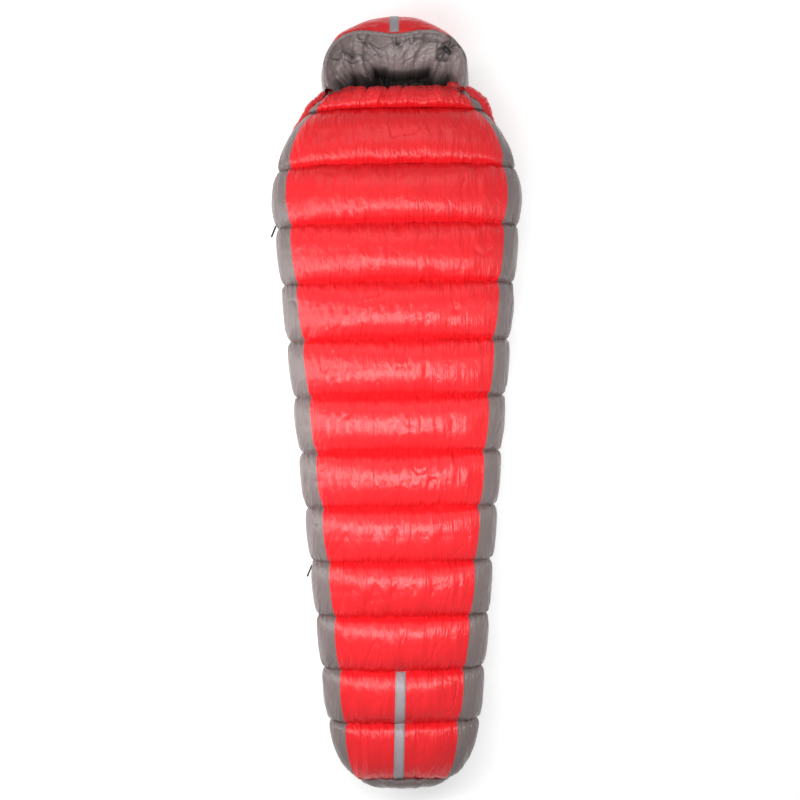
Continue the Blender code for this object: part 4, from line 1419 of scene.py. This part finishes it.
def slab(name, outline, low, high, materials, body, place, bevel):
    bm = bmesh.new()
    bottom = [bm.verts.new((a, b, low)) for a, b in outline]
    top = [bm.verts.new((a, b, high)) for a, b in outline]
    bm.faces.new(bottom[::-1])
    bm.faces.new(top)
    for k in range(len(outline)):
        n = (k + 1) % len(outline)
        bm.faces.new((bottom[k], bottom[n], top[n], top[k]))
    return finished(name, bm, materials, body, place, bevel)


def build_closure(webbing, thread):
    place = Matrix.Translation((-0.1921, 0.8165, 0.1513)) @ Matrix.Rotation(math.radians(30), 4, "Z")
    patch = slab("loop_patch", rounded_outline(0.0015, 0.0265, 0.0050, 0.0012), -0.0016, -0.0003,
                 [webbing], "bag", place, 0.0003)
    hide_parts("closure_patch")
    tab = slab("hook_tab", rounded_outline(0.0, 0.028, 0.0055, 0.0025), 0.0, 0.0018,
               [webbing], "closure_tab", place, 0.0005)
    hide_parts("closure_tab")
    outline = np.array(rounded_outline(0.0022, 0.0258, 0.0038, 0.0015))
    line = np.column_stack([outline, np.full(len(outline), 0.0018)])
    line = np.concatenate([line, line[:1]])
    stitches = build_stitches("hook_tab_stitches", [line], thread, 0.0020, 0.0014, 0.0002, lift=0.0)
    stitches.data.transform(place)
    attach(stitches, "closure_tab")


# Stage and light


def add_stage():
    mesh = bpy.data.meshes.new("floor")
    mesh.from_pydata([(-15, -15, -0.0004), (15, -15, -0.0004), (15, 15, -0.0004), (-15, 15, -0.0004)], [],
                     [(0, 1, 2, 3)])
    floor = link("floor", mesh)
    floor_material = simple_material("floor", (0.90, 0.90, 0.90), 0.9)
    shader = floor_material.node_tree.nodes["Principled BSDF"]
    shader.inputs["Emission Color"].default_value = (1, 1, 1, 1)
    shader.inputs["Emission Strength"].default_value = FLOOR_GLOW
    mesh.materials.append(floor_material)
    world = bpy.data.worlds.new("studio")
    world.use_nodes = True
    world.node_tree.nodes["Background"].inputs["Color"].default_value = (1, 1, 1, 1)
    world.node_tree.nodes["Background"].inputs["Strength"].default_value = WORLD_LIGHT
    bpy.context.scene.world = world
    bpy.context.scene.view_settings.view_transform = "Standard"


def softbox(name, location, target, size, power):
    light = bpy.data.lights.new(name, "AREA")
    light.shape = "RECTANGLE"
    light.size, light.size_y = size
    light.energy = power
    obj = link(name, light)
    obj.location = location
    obj.rotation_euler = (Vector(target) - Vector(location)).to_track_quat("-Z", "Y").to_euler()
    obj.visible_camera = False


def tape_material(name, colour, roughness, scale, depth):
    """Narrow woven tape: ribs across it and threads along it."""
    material = simple_material(name, colour, roughness)
    nodes, links = nodes_of(material)
    shader = nodes["Principled BSDF"]
    mapping = nodes.new("ShaderNodeMapping")
    mapping.inputs["Scale"].default_value = (scale, scale * 0.6, 1)
    links.new(cloth_uv(nodes), mapping.inputs["Vector"])
    checker = nodes.new("ShaderNodeTexChecker")
    checker.inputs["Scale"].default_value = 1.0
    checker.inputs["Color1"].default_value = (*[c * 0.72 for c in colour], 1)
    checker.inputs["Color2"].default_value = (*[min(1, c * 1.18) for c in colour], 1)
    links.new(mapping.outputs["Vector"], checker.inputs["Vector"])
    links.new(checker.outputs["Color"], shader.inputs["Base Color"])
    links.new(bump(nodes, links, checker.outputs["Fac"], depth, 0.7), shader.inputs["Normal"])
    return material


def hard_material(name, colour, roughness, metallic, grain):
    """Moulded plastic or metal with a fine grain and uneven gloss, placed by the surface's own position."""
    material = simple_material(name, colour, roughness, metallic)
    nodes, links = nodes_of(material)
    shader = nodes["Principled BSDF"]
    place = nodes.new("ShaderNodeTexCoord")
    noise = nodes.new("ShaderNodeTexNoise")
    noise.inputs["Scale"].default_value = grain
    noise.inputs["Detail"].default_value = 4.0
    links.new(place.outputs["Object"], noise.inputs["Vector"])
    links.new(bump(nodes, links, noise.outputs["Fac"], 0.00006, 0.5), shader.inputs["Normal"])
    wear = nodes.new("ShaderNodeMapRange")
    wear.inputs["To Min"].default_value = roughness - 0.08
    wear.inputs["To Max"].default_value = roughness + 0.12
    links.new(noise.outputs["Fac"], wear.inputs["Value"])
    links.new(wear.outputs["Result"], shader.inputs["Roughness"])
    return material


def cord_material():
    """Braided cord: strands that cross in a diamond pattern round it."""
    material = simple_material("cord_braid", (0.015, 0.015, 0.016), 0.6)
    nodes, links = nodes_of(material)
    place = nodes.new("ShaderNodeTexCoord")
    checker = nodes.new("ShaderNodeTexVoronoi")
    checker.inputs["Scale"].default_value = 1600.0
    links.new(place.outputs["Object"], checker.inputs["Vector"])
    strands = checker.outputs["Distance"]
    normal = bump(nodes, links, strands, 0.0002, 0.8)
    links.new(normal, nodes["Principled BSDF"].inputs["Normal"])
    colour_between(nodes, links, strands, (0.035, 0.034, 0.036), (0.010, 0.010, 0.011))
    return material


def main():
    add_camera()
    braid = cord_material()
    plastic = hard_material("moulded_plastic", (0.014, 0.014, 0.015), 0.38, 0.0, 900.0)
    metal = hard_material("slider_metal", (0.055, 0.055, 0.060), 0.34, 0.9, 700.0)
    steel = hard_material("spring_steel", (0.45, 0.45, 0.46), 0.25, 1.0, 700.0)
    cord, exit_point, length = build_cord(braid)
    build_cordlock(plastic, steel)
    red = nylon("red_nylon", RED)
    grey = nylon("grey_nylon", GREY)
    # The lining's colour carries painted shade, darkest where the hood lining lies deep.
    lining = creased_nylon("grey_lining_nylon", LINING, painted_shade=True)
    red_plain = creased_nylon("red_nylon_hood", RED)
    grey_plain = creased_nylon("grey_nylon_hood", GREY)
    thread = simple_material("red_thread", (0.62, 0.020, 0.030), 0.6)
    dark_thread = simple_material("dark_thread", (0.05, 0.05, 0.05), 0.6)
    top, seam_lines = build_top_quilt([red, grey])
    bottom, bottom_lines = build_bottom_quilt(grey)
    build_foot_cap(grey)
    build_yokes(red_plain)
    shell = build_hood_shell(red_plain, grey_plain)
    build_hood_lining(lining)
    build_rim(lining)
    tape = tape_material("zipper_tape", (0.022, 0.022, 0.024), 0.7, 900.0, 0.0002)
    strip = tape_material("reflective_weave", (0.38, 0.34, 0.365), 0.38, 700.0, 0.0001)
    webbing = tape_material("webbing", (0.018, 0.018, 0.020), 0.75, 700.0, 0.0003)
    zip_lines = build_zipper(tape, metal, plastic, lining)
    build_lining("lining_top", 0.1456, 0.00035, lining, 301)
    build_lining("lining_bottom", 0.0852, 0.00035, lining, 311)
    slot_red = build_stitches("quilting_stitches", [line[8:-8] for line in seam_lines], thread)
    build_stitches("bottom_stitches", bottom_lines, thread, lift=-0.0004)
    strip_lines = build_foot_strip(top, strip) + build_hood_strip(shell, strip)
    build_stitches("strip_stitches", strip_lines, dark_thread, 0.0030, 0.0020, 0.0003)
    build_stitches("tape_stitches", zip_lines, dark_thread, 0.0030, 0.0020, 0.0003, lift=0.0)
    build_closure(webbing, dark_thread)
    add_stage()
    softbox("left_box", (-1.5, 0.0, 1.15), (0.0, 0.0, 0.15), (0.8, 2.7), 23.5)
    softbox("right_box", (1.15, 0.15, 1.2), (0.1, 0.0, 0.15), (0.25, 1.2), 1.7)
    softbox("middle_box", (0.0, -0.20, 1.35), (0.0, -0.20, 0.0), (1.1, 0.30), 10.5)
    softbox("head_box", (0.0, 1.75, 1.9), (0.0, 0.35, 0.1), (2.4, 1.0), 8.0)


main()
